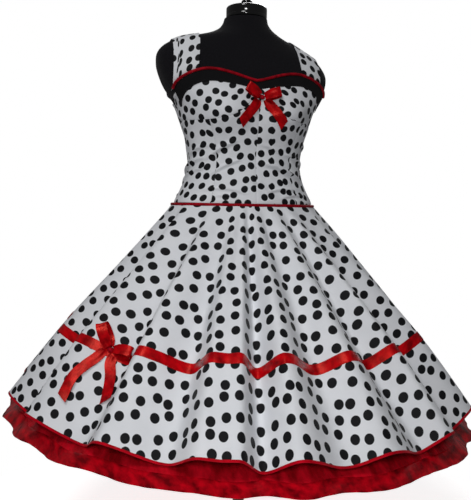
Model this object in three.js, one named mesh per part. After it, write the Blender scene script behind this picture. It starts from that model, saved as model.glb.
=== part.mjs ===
// A sleeveless petticoat dress with wide straps and a flared skirt, on a dress form with a round base.
// Millimetres, +Z up. The front faces -Y. The origin is on the floor, under the middle of the base.
import * as THREE from 'three';

// Heights
const SEAM_HEIGHT = 950; // hip seam above the floor; other heights of the dress are measured from it
const FORM_TOP = 472; // top of the form's neck above the hip seam
const FORM_BOTTOM = -150; // underside of the form's torso, against the hip seam
const SKIRT_DROP = 476; // hem below the hip seam, halfway between ridge and valley
const FLOUNCE_TOP = 300; // where the petticoat's flounce is gathered on, below the hip seam
const FLOUNCE_BEND = 492; // where the flounce comes out from under the hem
const SATIN_TOP = 510; // upper side of the flounce's satin edge
const FLOUNCE_BOTTOM = 526; // lowest edge of the petticoat

// Cloth and trim
const GAP = 0.3; // between pieces that meet
const CLOTH = 1.5; // cotton sateen wall
const NET = 1.0; // organza wall
const SATIN = 1.0; // ribbon and binding
const RIBBON_WIDTH = 24;
const BINDING_WIDTH = 5.5;
const PIPING_RADIUS = 3.8;
const PIPING_SINK = 0.2; // how far it sits into the ease between bodice and form
const PIPING_SIDES = 8;
const BINDING_LIP = 0.2; // each face of a binding stands past the cloth that it edges
const FORM_EASE = 1.2; // form's jersey to the inside of the bodice
// Strap: turn from front to back, distance of its inner and outer edges from the middle of the body
const STRAP = [[0, 136, 187], [45, 127, 187], [90, 119, 184], [135, 122, 182], [180, 128, 180]];
const STRAP_SHIFT = -11; // both straps sit this far to the wearer's left; negative is to the right
const STRAP_EASE = 1.6; // body to the strap's inner face

// The form's body, by height above the hip seam. Exponent 2 is an ellipse, more is squarer, and lean
// is how far the section's middle stands to the wearer's left.
// height, half width, front depth, back depth, exponent, lean
const BODY = [
  [-150, 170, 106, 118, 2.2, 0],
  [-90, 184, 112, 126, 2.2, 0],
  [-40, 187, 114, 128, 2.2, 0],
  [0, 182, 112, 122, 2.2, 0],
  [39, 163, 107, 112, 2.2, 0],
  [65, 152, 103, 104, 2.2, 0],
  [91, 146, 100, 99, 2.2, 0],
  [117, 146, 100, 98, 2.2, 0],
  [143, 150, 104, 100, 2.2, 0],
  [169, 155, 110, 104, 2.2, 0],
  [195, 163, 114, 109, 2.25, 0],
  [218, 170, 116, 113, 2.3, 0],
  [243, 179, 115, 116, 2.4, 0],
  [268, 194, 111, 118, 2.5, 0],
  [295, 211, 105, 117, 2.5, -2],
  [330, 222, 96, 112, 2.5, -6],
  [352, 220, 89, 107, 2.5, -12],
  [376, 208, 82, 100, 2.4, -21],
  [396, 182, 76, 93, 2.3, -28],
  [412, 150, 71, 86, 2.2, -24],
  [428, 101, 66, 79, 2.1, -8],
  [443, 73, 62, 72, 2, -3],
  [458, 60, 59, 63, 2, -3],
  [472, 56, 55, 56, 2, -2],
];
const BUST = { height: 228, spread: 46, angle: 34, halfAngle: 21, cup: 26, form: 20 };
const GIRTH_RATIO = 1.5; // width against depth, which spaces the columns round the body evenly

// Upper edge of the bodice, front to back: degrees from the front, height above the hip seam
const NECKLINE = [
  [0, 298], [9, 301], [18, 306], [33, 315], [45, 321], [53, 322], [60, 317], [66, 307],
  [72, 293], [77, 279], [84, 262], [90, 254], [100, 251], [120, 260], [150, 273], [180, 278],
];
// Seam under the cups, which rises to the middle of the front
const UNDER_BUST = [[0, 262], [7, 255], [14, 241], [21, 225], [30, 213], [42, 207], [60, 205], [90, 208]];
// Depth of the black band below the neckline
const BAND_DEPTH = [[0, 17], [18, 19], [35, 24], [53, 27], [66, 33], [77, 36]];
const BAND_END = 77; // degrees from the front, at the armhole
const PRINCESS_SEAM = 50; // degrees from the front
const SIDE_SEAM = 90;
const BODICE_BOTTOM = 4.1; // above the hip seam, clear of the piping

// Skirt and petticoat
const HEM_RADIUS = 560;
const HEM_TILT = 1.3; // degrees, lower on the wearer's left
const HEM_DIP = 1.5; // degrees, lower in front
const SKIRT_TOP = 4.1; // below the hip seam, clear of the piping
const SEAM_OFFSET = 2.2; // skirt's inner face outside the body at the hip seam
// Fold depth against that at the hem, down the slant
const FOLD_SHARE = [[0, 0], [0.1, 0.2], [0.2, 0.38], [0.4, 0.76], [0.6, 1.08], [0.72, 1.18], [0.86, 1.12], [1, 1]];
const RIBBON_MIDDLE = 0.68; // share of the slant
// Folds of the skirt at the hem, going round from the left side of the front.
// ridge angle, ridge height, valley angle, valley depth
const FOLDS = [
  [-159, 25, -148, 24],
  [-136, 21, -124, 23],
  [-112, 20, -99, 24],
  [-87, 22, -73.5, 25],
  [-69, 26, -53, 26],
  [-45, 24, -32, 24],
  [-24, 24, -20.5, -21],
  [-17, 25, -12, 27],
  [-5, 26, 6, 19],
  [15, 22, 28, 25],
  [34, 25, 47, 21],
  [58, 26, 70, 24],
  [82, 23, 94, 25],
  [106, 27, 117, 22],
  [129, 24, 141, 26],
  [153, 26, 165, 24],
  [178, 23, 189, 25],
];
const FOLD_STEPS = 3; // columns from a ridge to the next valley
const NARROW_FOLD = 6; // degrees; below this a fold has two columns
// Rows of the petticoat: drop below the hip seam, distance inside the skirt's cone
const PETTICOAT_INSET = [[6, 2.0], [60, 14], [150, 31], [300, 51], [420, 56], [474, 53], [492, 53]];
const FLOUNCE_RADIUS = 584; // at its lowest edge
const FLOUNCE_WAVES = 20;
const WAVE_STEPS = 6;
const WAVE_HEIGHT = 6;
const WAVE_GROWTH = 1.3; // exponent of wave height against the way down the flounce
// Where the flounce stands out more: angle, half width in degrees, distance out, distance up
const FLARE = { angle: -85, width: 32, out: 4, up: 6 };
const WAVE_LIFT = 1.6; // how much the lower edge rises and falls with a wave
// How far waves run ahead of an even spacing: turns in the round, radians ahead, start in radians
const WAVE_DRIFT = [[3, 0.7, 2.0], [5, 1.1, 0.7]];
// How the waves' height changes round the flounce: turns in the round, share, start in radians
const UNEVENNESS = [[3, 0.25, 0.4], [7, 0.3, 2.1], [11, 0.2, 4.0]];

// Bows: place on the surface as angle and level; loops with the way they point, in degrees from up,
// and their splay, by which the two layers lie to either side of each other; tails as rows of angle,
// level and distance off the surface
const KNOT_HALF = 6;
const KNOT_DEPTH = 0.8; // against its width
const KNOT_CUT = 0.92; // share of the knot's ball between its flat ends
const PINCH = 15; // ribbon's width at the knot
const PINCH_LENGTH = 13;
const PINCH_EASE = 0.7; // exponent; below 1 the ribbon widens soon after the knot
const LOOP_EASE = 0.8; // exponent; below 1 the loop is fuller at its far end
const TAIL_SLANT = 13; // how much longer a tail's inner side is
const BODICE_BOW = {
  place: [3.5, 260],
  loops: [{ way: -60, reach: 38, height: 14, rise: 14.5, splay: 1 },
    { way: 79, reach: 38, height: 13, rise: 15, splay: 0 }],
  tails: [
    [[-1.3, 255.5, 1], [-5, 243, 3], [-10.8, 228, 4], [-17, 212, 4], [-21.5, 199, 5]],
    [[8.3, 256, 0.9], [12, 243, 3], [17, 228, 4], [22, 212, 4], [26.5, 198, 5]],
  ],
};
const SKIRT_BOW = {
  place: [-59.4, 0.674],
  loops: [{ way: -46, reach: 48, height: 20, rise: 24, splay: 5 },
    { way: 80, reach: 44, height: 15, rise: 17, splay: 3 }],
  tails: [
    [[-60.6, 0.681, 1.1], [-61.2, 0.72, 4], [-62.3, 0.766, 6], [-63.1, 0.82, 7], [-62.5, 0.9, 8]],
    [[-58.3, 0.681, 2.2], [-57.7, 0.718, 4], [-56, 0.755, 6], [-54.3, 0.802, 7], [-52.9, 0.848, 8]],
  ],
};

// Stand
const POLE_RADIUS = 15;
const BASE_RADIUS = 195;
const BASE_EDGE = 9;
const BASE_CROWN = 16;
const COLLAR_RADIUS = 27;
const COLLAR_HEIGHT = 34;
const CAP_RADIUS = 52;
const CAP_HEIGHT = 31;
const KNOB_RADIUS = 14;
const KNOB_HEIGHT = 20;

const COLORS = {
  cloth: 0xc8cad0,
  band: 0x16151c,
  piping: 0x8a0a1c,
  satin: 0xc00008,
  organza: 0xa80518,
  jersey: 0x1c1b20,
  lacquer: 0x08080a,
  steel: 0x17171a,
};

const { cos, sin, PI, abs, hypot, min, max, sign } = Math;
const radians = (degrees) => (degrees * PI) / 180;
const lerp = (a, b, t) => a + (b - a) * t;
const vec = (x, y, z) => new THREE.Vector3(x, y, z);
const range = (count) => Array.from({ length: count }, (_, i) => i);
const spread = (from, to, steps) => range(steps + 1).map((i) => lerp(from, to, i / steps));
const group = new THREE.Group();

function add(name, geometry, color, roughness, metalness = 0) {
  const material = new THREE.MeshStandardMaterial({ color, roughness, metalness });
  const mesh = new THREE.Mesh(geometry, material);
  mesh.name = name;
  group.add(mesh);
}

// A smooth curve through the rows of a table; the first column is the place
function curve(table, at, column = 1) {
  const last = table.length - 1;
  if (at <= table[0][0]) return table[0][column];
  if (at >= table[last][0]) return table[last][column];
  const i = table.findIndex((row) => row[0] > at) - 1;
  const slope = (k) => {
    const before = table[max(k - 1, 0)];
    const after = table[min(k + 1, last)];
    return (after[column] - before[column]) / (after[0] - before[0]);
  };
  const step = table[i + 1][0] - table[i][0];
  const t = (at - table[i][0]) / step;
  const rise = table[i + 1][column] - table[i][column];
  const bend = (slope(i) * step - rise) * (1 - t) - (slope(i + 1) * step - rise) * t;
  return table[i][column] + rise * t + t * (1 - t) * bend;
}

// A closed wall between two faces of a grid. Each face is a function of column and row.
function shell(columns, rows, outer, inner, ring = false) {
  const points = [];
  const faces = [];
  const wrap = ring ? columns : columns - 1;
  [outer, inner].forEach((face) => {
    range(columns).forEach((i) => range(rows).forEach((j) => points.push(face(i, j))));
  });
  const at = (side, i, j) => side * columns * rows + (i % columns) * rows + j;
  const quad = (a, b, c, d) => faces.push(a, b, c, a, c, d);
  range(wrap).forEach((i) => {
    range(rows - 1).forEach((j) => {
      quad(at(0, i, j), at(0, i + 1, j), at(0, i + 1, j + 1), at(0, i, j + 1));
      quad(at(1, i, j), at(1, i, j + 1), at(1, i + 1, j + 1), at(1, i + 1, j));
    });
    quad(at(1, i, 0), at(1, i + 1, 0), at(0, i + 1, 0), at(0, i, 0));
    quad(at(0, i, rows - 1), at(0, i + 1, rows - 1), at(1, i + 1, rows - 1), at(1, i, rows - 1));
  });
  if (!ring) {
    range(rows - 1).forEach((j) => {
      quad(at(0, 0, j), at(0, 0, j + 1), at(1, 0, j + 1), at(1, 0, j));
      const i = columns - 1;
      quad(at(0, i, j), at(1, i, j), at(1, i, j + 1), at(0, i, j + 1));
    });
  }
  return solid(points, faces);
}

// Turns points and triangles into a geometry whose faces point outwards
function solid(points, faces) {
  let volume = 0;
  const corner = new THREE.Vector3();
  for (let k = 0; k < faces.length; k += 3) {
    const [a, b, c] = [points[faces[k]], points[faces[k + 1]], points[faces[k + 2]]];
    volume += a.dot(corner.crossVectors(b, c));
  }
  if (volume < 0) faces.reverse();
  const geometry = new THREE.BufferGeometry().setFromPoints(points);
  geometry.setIndex(faces);
  return geometry;
}

// A round cord along a smooth path through points
function cord(points, radius, steps) {
  const turns = range(PIPING_SIDES).map((k) => (2 * PI * k) / PIPING_SIDES);
  const corner = (turn) => new THREE.Vector2(radius * cos(turn), radius * sin(turn));
  const section = new THREE.Shape(turns.map(corner));
  const extrudePath = new THREE.CatmullRomCurve3(points);
  return new THREE.ExtrudeGeometry(section, { steps, extrudePath, bevelEnabled: false });
}

// Body: distance from its section's middle to the inside of the bodice, at an angle and a height
function bodyRadius(angle, height, rise = BUST.cup) {
  const turn = radians(angle);
  const depth = curve(BODY, height, cos(turn) > 0 ? 2 : 3);
  const power = curve(BODY, height, 4);
  const across = abs(sin(turn)) / curve(BODY, height, 1);
  const along = abs(cos(turn)) / depth;
  const round = (across ** power + along ** power) ** (-1 / power);
  const side = (abs(angle) - BUST.angle) / BUST.halfAngle;
  const level = (height - BUST.height) / BUST.spread;
  return round + rise * Math.exp(-side * side - level * level);
}

const lean = (height) => curve(BODY, height, 5);

function bodyPoint(angle, height, rise) {
  const radius = bodyRadius(angle, height, rise);
  return vec(lean(height) + radius * sin(radians(angle)), -radius * cos(radians(angle)), height);
}

// How far a point lies outside the body, measured level
function outside(point) {
  const across = point.x - lean(point.z);
  const angle = (Math.atan2(across, -point.y) * 180) / PI;
  return hypot(across, point.y) - bodyRadius(angle, point.z);
}

function bodyNormal(point) {
  const step = 0.5;
  const slope = (dx, dy, dz) => {
    const shift = vec(dx, dy, dz).multiplyScalar(step);
    return outside(point.clone().add(shift)) - outside(point.clone().sub(shift));
  };
  return vec(slope(1, 0, 0), slope(0, 1, 0), slope(0, 0, 1)).normalize();
}

const raise = (point) => point.setZ(point.z + SEAM_HEIGHT);

function onBody(angle, height, out) {
  const point = bodyPoint(angle, height);
  return raise(point.clone().addScaledVector(bodyNormal(point), out));
}

// Angles round the body, spaced evenly along its girth
const girthTurn = (angle) => Math.atan2(sin(radians(angle)), GIRTH_RATIO * cos(radians(angle)));
const girthAngle = (turn) => (Math.atan2(GIRTH_RATIO * sin(turn), cos(turn)) * 180) / PI;
const girthColumns = (from, to, steps) => spread(girthTurn(from), girthTurn(to), steps).map(girthAngle);

// Half of a seam's gap, in degrees at a radius
const seamShift = (radius) => (GAP * 0.5 * 180) / (PI * radius);

// A bodice piece on one side of the body, between the first and the last of its angles. Its levels
// are functions of the angle, and its side edges stand off their seams by half a gap.
function bodicePiece(way, angles, levels, inner = 0, outer = CLOTH) {
  const last = angles.length - 1;
  const point = (out) => (i, j) => {
    const angle = angles[i];
    const height = levels[j](angle);
    const edge = i === 0 ? 1 : i === last ? -1 : 0;
    const shift = edge * seamShift(bodyRadius(angle, height));
    return onBody(way * (angle + shift), height, out);
  };
  return shell(angles.length, levels.length, point(outer), point(inner));
}

const neckline = (angle) => curve(NECKLINE, angle);
const underBust = (angle) => curve(UNDER_BUST, angle);
const bandBottom = (angle) => neckline(angle) - curve(BAND_DEPTH, angle);
const between = (low, high, strips) =>
  range(strips + 1).map((j) => (angle) => lerp(low(angle), high(angle), j / strips));

const CENTER_COLUMNS = girthColumns(0, PRINCESS_SEAM, 7);
const SIDE_COLUMNS = [
  ...girthColumns(PRINCESS_SEAM, BAND_END, 5),
  ...girthColumns(BAND_END, SIDE_SEAM, 2).slice(1),
];
const CUP_COLUMNS = [...CENTER_COLUMNS, ...SIDE_COLUMNS.slice(1)];
const BAND_COLUMNS = CUP_COLUMNS.filter((angle) => angle < BAND_END + 0.1);
const BACK_COLUMNS = girthColumns(SIDE_SEAM, 180, 10);

function addBodice() {
  const bottom = () => BODICE_BOTTOM;
  const midriff = between(bottom, (angle) => underBust(angle) - GAP / 2, 7);
  const cup = [
    ...between((angle) => underBust(angle) + GAP / 2, bandBottom, 4),
    ...between(bandBottom, neckline, 2).slice(1),
  ];
  const band = between(bandBottom, (angle) => neckline(angle) - GAP, 2);
  const bandFaces = [CLOTH + GAP, CLOTH + GAP + CLOTH];
  const back = between(bottom, neckline, 7);
  [['right', -1], ['left', 1]].forEach(([side, way]) => {
    const piece = (name, ...rest) => add(`${name}_${side}`, bodicePiece(way, ...rest), COLORS.cloth, 0.62);
    piece('cup', CUP_COLUMNS, cup);
    piece('midriff_center', CENTER_COLUMNS, midriff);
    piece('midriff_side', SIDE_COLUMNS, midriff);
    piece('bodice_back', BACK_COLUMNS, back);
    add(`neckline_band_${side}`, bodicePiece(way, BAND_COLUMNS, band, ...bandFaces), COLORS.band, 0.8);
  });
}

const HIP_STEPS = 24;
const NECK_STEPS = 36;
function addPipings() {
  const atHip = (angle) => {
    const point = bodyPoint(angle, 0);
    const out = bodyNormal(point).setZ(0).normalize();
    return raise(point.addScaledVector(out, PIPING_RADIUS - PIPING_SINK));
  };
  const clear = 4 * seamShift(bodyRadius(SIDE_SEAM, 0));
  const half = girthColumns(clear - SIDE_SEAM, SIDE_SEAM - clear, HIP_STEPS);
  add('hip_piping_front', cord(half.map(atHip), PIPING_RADIUS, HIP_STEPS), COLORS.piping, 0.5);
  const behind = half.map((angle) => 180 - angle);
  add('hip_piping_back', cord(behind.map(atHip), PIPING_RADIUS, HIP_STEPS), COLORS.piping, 0.5);
  const radius = PIPING_RADIUS - PIPING_SINK;
  const neck = girthColumns(-BAND_END, BAND_END, NECK_STEPS).map((angle) => {
    const point = bodyPoint(angle, neckline(abs(angle)) + radius + 2 * GAP);
    return raise(point.addScaledVector(bodyNormal(point), radius));
  });
  add('neckline_piping', cord(neck, radius, NECK_STEPS), COLORS.piping, 0.5);
}

// A point of the body over the shoulder, at a width from the middle and a turn from front to back
const SHOULDER_CENTER = { y: 8, height: 300 };
function overShoulder(width, turn) {
  const way = vec(0, -cos(radians(turn)), sin(radians(turn)));
  const start = vec(width + STRAP_SHIFT, SHOULDER_CENTER.y, SHOULDER_CENTER.height);
  let [near, far] = [5, 190];
  range(30).forEach(() => {
    const middle = (near + far) / 2;
    if (outside(start.clone().addScaledVector(way, middle)) < 0) near = middle;
    else far = middle;
  });
  return start.addScaledVector(way, near);
}

// Across the strap, from its inner edge at 0 to its outer edge at 1
const strapWidth = (across, turn) => lerp(curve(STRAP, turn, 1), curve(STRAP, turn, 2), across);

// The turn at which a lengthwise line of the strap comes down to the upper edge of the bodice
function strapEnd(across, way, clear, back) {
  let [low, high] = back ? [210, 95] : [-30, 85];
  range(30).forEach(() => {
    const middle = (low + high) / 2;
    const point = overShoulder(way * strapWidth(across, middle), middle);
    const angle = abs((Math.atan2(point.x, -point.y) * 180) / PI);
    if (point.z < neckline(angle) + clear) low = middle;
    else high = middle;
  });
  return high;
}

const STRAP_ROWS = 24;
const STRAP_COLUMNS = 5;
const STRAP_CLEAR = 13; // strap's front end above the neckline, past the piping
function strapPoint(way, out) {
  const lines = spread(0, 1, STRAP_COLUMNS - 1);
  const ends = lines.map((across) => [
    strapEnd(across, way, STRAP_CLEAR, false),
    strapEnd(across, way, 2 * GAP, true),
  ]);
  return (i, j) => {
    const turn = lerp(ends[i][0], ends[i][1], j / STRAP_ROWS);
    const point = overShoulder(way * strapWidth(lines[i], turn), turn);
    return raise(point.clone().addScaledVector(bodyNormal(point), out));
  };
}

function addStraps() {
  [['right', -1], ['left', 1]].forEach(([side, way]) => {
    const faces = [STRAP_EASE + CLOTH, STRAP_EASE].map((out) => strapPoint(way, out));
    add(`strap_${side}`, shell(STRAP_COLUMNS, STRAP_ROWS + 1, ...faces), COLORS.cloth, 0.62);
  });
}

// Skirt: the cone that the folds stand on
const seamRadius = (angle) => bodyRadius(angle, 0) + SEAM_OFFSET;
const coneRadius = (angle, drop) => lerp(seamRadius(angle), HEM_RADIUS, drop / SKIRT_DROP);

const FOLD_PEAKS = FOLDS.flatMap(([ridge, height, valley, depth]) => [[ridge, height], [valley, -depth]]);

// Fold height at the hem, eased from each peak to the next
function foldAt(angle) {
  const first = FOLD_PEAKS[0][0];
  const place = first + ((((angle - first) % 360) + 360) % 360);
  const closed = [...FOLD_PEAKS, [first + 360, FOLD_PEAKS[0][1]]];
  const i = closed.findIndex((peak) => peak[0] > place) - 1;
  const t = (place - closed[i][0]) / (closed[i + 1][0] - closed[i][0]);
  return lerp(closed[i][1], closed[i + 1][1], (1 - cos(PI * t)) / 2);
}

// The skirt and petticoat hang lower to one side and in front, more so further down
function hang(x, y, height) {
  const share = (SEAM_HEIGHT - height) / SKIRT_DROP;
  const lower = x * Math.tan(radians(HEM_TILT)) - y * Math.tan(radians(HEM_DIP));
  return vec(x, y, height - lower * share);
}

// A point of the skirt: angle, share of the slant, distance out from its inner face
function skirtPoint(angle, share, out) {
  const turn = radians(angle);
  const slope = HEM_RADIUS - seamRadius(angle);
  const slant = hypot(slope, SKIRT_DROP);
  const lift = out + foldAt(angle) * curve(FOLD_SHARE, share);
  const radius = coneRadius(angle, share * SKIRT_DROP) + (lift * SKIRT_DROP) / slant;
  const height = SEAM_HEIGHT - share * SKIRT_DROP + (lift * slope) / slant;
  return hang(radius * sin(turn), -radius * cos(turn), height);
}

function foldColumns() {
  const closed = [...FOLD_PEAKS, [FOLD_PEAKS[0][0] + 360, 0]];
  const angles = range(closed.length - 1).flatMap((i) =>
    spread(closed[i][0], closed[i + 1][0], closed[i + 1][0] - closed[i][0] < NARROW_FOLD ? 2 : FOLD_STEPS)
      .slice(0, -1));
  const near = (a, b) => abs(a - b) < 1;
  const wrapped = angles.map((angle) => (angle > 180 ? angle - 360 : angle));
  const kept = wrapped.filter((angle) => !near(angle, SIDE_SEAM) && !near(angle, -SIDE_SEAM));
  return [...kept, -SIDE_SEAM, SIDE_SEAM].sort((a, b) => a - b);
}

const COLUMNS = foldColumns();
const FRONT = COLUMNS.filter((angle) => abs(angle) <= SIDE_SEAM);
const BACK = [
  ...COLUMNS.filter((angle) => angle >= SIDE_SEAM),
  ...COLUMNS.filter((angle) => angle <= -SIDE_SEAM).map((angle) => angle + 360),
];

// Half of a ring of cloth between the side seams
function half(angles, rows, outer, inner) {
  const last = angles.length - 1;
  const face = (point) => (i, j) => {
    const edge = i === 0 ? 1 : i === last ? -1 : 0;
    return point(angles[i] + edge * seamShift(coneRadius(angles[i], 0)), rows[j]);
  };
  return shell(angles.length, rows.length, face(outer), face(inner));
}

const ring = (rows, outer, inner) =>
  shell(COLUMNS.length, rows.length, (i, j) => outer(COLUMNS[i], rows[j]),
    (i, j) => inner(COLUMNS[i], rows[j]), true);

const SLANT = hypot(HEM_RADIUS - (seamRadius(0) + seamRadius(SIDE_SEAM)) / 2, SKIRT_DROP);
const RIBBON_ROWS = [-0.5, 0.5].map((side) => RIBBON_MIDDLE + (side * RIBBON_WIDTH) / SLANT);

function addSkirt() {
  const rows = [SKIRT_TOP / SKIRT_DROP, 0.16, 0.38, ...RIBBON_ROWS, 1];
  const faces = [CLOTH, 0].map((out) => (angle, share) => skirtPoint(angle, share, out));
  add('skirt_front', half(FRONT, rows, ...faces), COLORS.cloth, 0.6);
  add('skirt_back', half(BACK, rows, ...faces), COLORS.cloth, 0.6);
  const ribbonFaces = [CLOTH + GAP + SATIN, CLOTH + GAP].map(
    (out) => (angle, share) => skirtPoint(angle, share, out));
  add('skirt_ribbon', ring(RIBBON_ROWS, ...ribbonFaces), COLORS.satin, 0.3);
  const hem = [1 + GAP / SLANT, 1 + BINDING_WIDTH / SLANT];
  const hemFaces = [CLOTH + BINDING_LIP, -BINDING_LIP].map(
    (out) => (angle, share) => skirtPoint(angle, share, out));
  add('hem_binding', ring(hem, ...hemFaces), COLORS.satin, 0.35);
}

// Petticoat: distance from the axis to its inner face, at a drop below the hip seam
function petticoatRadius(angle, drop) {
  const inside = (level) => coneRadius(angle, level) - curve(PETTICOAT_INSET, level);
  if (drop <= FLOUNCE_BEND) return inside(drop);
  return lerp(inside(FLOUNCE_BEND), FLOUNCE_RADIUS, (drop - FLOUNCE_BEND) / (FLOUNCE_BOTTOM - FLOUNCE_BEND));
}

function petticoatPoint(angle, drop, out) {
  const turn = radians(angle);
  const opened = max((drop - FLOUNCE_TOP) / (FLOUNCE_BOTTOM - FLOUNCE_TOP), 0);
  const swings = (table, first) =>
    table.reduce((sum, [count, share, start]) => sum + share * sin(count * turn + start), first);
  const phase = swings(WAVE_DRIFT, FLOUNCE_WAVES * turn);
  const grown = swings(UNEVENNESS, 1) * opened ** WAVE_GROWTH;
  const off = ((angle - FLARE.angle + 540) % 360) - 180;
  const flared = Math.exp(-((off / FLARE.width) ** 2)) * opened ** 3;
  const radius = petticoatRadius(angle, drop) + WAVE_HEIGHT * grown * cos(phase) + FLARE.out * flared + out;
  const height = SEAM_HEIGHT - drop + WAVE_LIFT * grown * sin(phase) + FLARE.up * flared;
  return hang(radius * sin(turn), -radius * cos(turn), height);
}

function addPetticoat() {
  const faces = [NET, 0].map((out) => (angle, drop) => petticoatPoint(angle, drop, out));
  const yokeRows = [6, 150, FLOUNCE_TOP - GAP];
  add('petticoat_yoke_front', half(FRONT, yokeRows, ...faces), COLORS.organza, 0.5);
  add('petticoat_yoke_back', half(BACK, yokeRows, ...faces), COLORS.organza, 0.5);
  const waves = spread(-90, 90, (FLOUNCE_WAVES * WAVE_STEPS) / 2);
  const flounceRows = [FLOUNCE_TOP, FLOUNCE_BEND, SATIN_TOP - GAP];
  add('flounce_front', half(waves, flounceRows, ...faces), COLORS.organza, 0.45);
  add('flounce_back', half(waves.map((angle) => angle + 180), flounceRows, ...faces), COLORS.organza, 0.45);
  const edgeRows = [SATIN_TOP, FLOUNCE_BOTTOM];
  const round = spread(-180, 180, FLOUNCE_WAVES * WAVE_STEPS);
  const edgeFace = (out) => (i, j) => petticoatPoint(round[i], edgeRows[j], out);
  const edgeFaces = [edgeFace(NET + BINDING_LIP), edgeFace(-BINDING_LIP)];
  add('flounce_satin_edge', shell(round.length - 1, 2, ...edgeFaces, true), COLORS.satin, 0.3);
}

// A ribbon along middles, with a direction across it at each. It is gathered at its knot, and its
// far end may be cut on the slant.
function ribbon(middles, acrossAt, widthAt, slant = 0) {
  const last = middles.length - 1;
  const stations = middles.map((at, i) => {
    const along = middles[min(i + 1, last)].clone().sub(middles[max(i - 1, 0)]).normalize();
    const across = acrossAt(i, along);
    return { at, along, across, up: vec().crossVectors(across, along).normalize() };
  });
  const face = (out) => (i, j) => {
    const { at, along, across, up } = stations[i];
    const side = j - 0.5;
    return at.clone()
      .addScaledVector(across, side * widthAt(i))
      .addScaledVector(along, i === last ? side * slant : 0)
      .addScaledVector(up, out);
  };
  return shell(stations.length, 2, face(SATIN / 2), face(-SATIN / 2));
}

const gathered = (distance) => lerp(PINCH, RIBBON_WIDTH, min(distance / PINCH_LENGTH, 1) ** PINCH_EASE);

// A bow's loop: out from the knot close to the cloth, round its far end, and back above itself
function loop({ at, out, up, right }, { way, reach, height, rise, splay }) {
  const ahead = right.clone().multiplyScalar(sin(radians(way))).addScaledVector(up, cos(radians(way)));
  const across = vec().crossVectors(out, ahead).normalize();
  const turns = spread(-PI, PI, 12);
  const along = (turn) => KNOT_HALF + GAP + reach * (0.5 + 0.5 * cos(turn)) ** LOOP_EASE;
  const middles = turns.map((turn) => at.clone()
    .addScaledVector(ahead, along(turn))
    .addScaledVector(across, splay * sin(turn))
    .addScaledVector(out, height * 0.5 * sin(turn) + sign(turn) * SATIN + (rise * along(turn)) / reach));
  return ribbon(middles, () => across, (i) => gathered(along(turns[i]) - KNOT_HALF));
}

// A bow's tail: it follows the surface from below the knot to its cut end
function tail(surface, route, slant) {
  const frames = route.map(([angle, level]) => surfaceFrame(surface, angle, level));
  const middles = frames.map(({ at, out }, i) => at.clone().addScaledVector(out, route[i][2]));
  const acrossAt = (i, along) => vec().crossVectors(along, frames[i].out).normalize();
  const gone = (i) => middles[i].distanceTo(middles[0]);
  return ribbon(middles, acrossAt, (i) => gathered(gone(i)), slant);
}

// A bow's knot, wrapped round the crossing of the ribbons
function knot({ at, out, up, right }) {
  const [columns, rows] = [8, 5];
  return barrel(columns, rows, (i, j) => {
    const turn = (2 * PI * i) / columns;
    const level = KNOT_CUT * lerp(-1, 1, j / (rows - 1));
    const radius = KNOT_HALF * Math.sqrt(1 - level * level);
    return at.clone()
      .addScaledVector(right, radius * cos(turn))
      .addScaledVector(out, radius * sin(turn) * KNOT_DEPTH)
      .addScaledVector(up, KNOT_HALF * level);
  });
}

// A closed body from rings of points, with flat ends
function barrel(columns, rows, point) {
  const points = [];
  const faces = [];
  range(rows).forEach((j) => range(columns).forEach((i) => points.push(point(i, j))));
  range(rows - 1).forEach((j) => {
    range(columns).forEach((i) => {
      const [a, b] = [j * columns + i, j * columns + ((i + 1) % columns)];
      faces.push(a, b, b + columns, a, b + columns, a + columns);
    });
  });
  const top = (rows - 1) * columns;
  range(columns - 2).forEach((i) => faces.push(0, i + 2, i + 1, top, top + i + 1, top + i + 2));
  return solid(points, faces);
}

// Where a point of a surface is, and its directions out, up and to the viewer's right
function surfaceFrame(surface, angle, level) {
  const at = surface.point(angle, level);
  const right = surface.point(angle + 1, level).sub(surface.point(angle - 1, level)).normalize();
  const above = surface.point(angle, level + surface.up).sub(at).normalize();
  const out = vec().crossVectors(right, above).normalize();
  return { at, out, right, up: vec().crossVectors(out, right).normalize() };
}

function addBow(name, surface, { place, loops, tails }) {
  const frame = surfaceFrame(surface, ...place);
  frame.at.addScaledVector(frame.out, KNOT_HALF * KNOT_DEPTH + 2 * GAP);
  add(`${name}_knot`, knot(frame), COLORS.satin, 0.3);
  ['right', 'left'].forEach((side, k) => {
    add(`${name}_loop_${side}`, loop(frame, loops[k]), COLORS.satin, 0.3);
    const cut = k === 0 ? -TAIL_SLANT : TAIL_SLANT;
    add(`${name}_tail_${side}`, tail(surface, tails[k], cut), COLORS.satin, 0.3);
  });
}

function addBows() {
  const bodice = { point: (angle, height) => onBody(angle, height, CLOTH), up: 1 };
  const skirt = { point: (angle, share) => skirtPoint(angle, share, CLOTH + GAP + SATIN), up: -0.005 };
  addBow('bodice_bow', bodice, BODICE_BOW);
  addBow('skirt_bow', skirt, SKIRT_BOW);
}

// Stand
function lathe(profile, segments) {
  const points = profile.map(([radius, height]) => new THREE.Vector2(radius, height));
  return new THREE.LatheGeometry(points, segments).rotateX(PI / 2);
}

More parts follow.
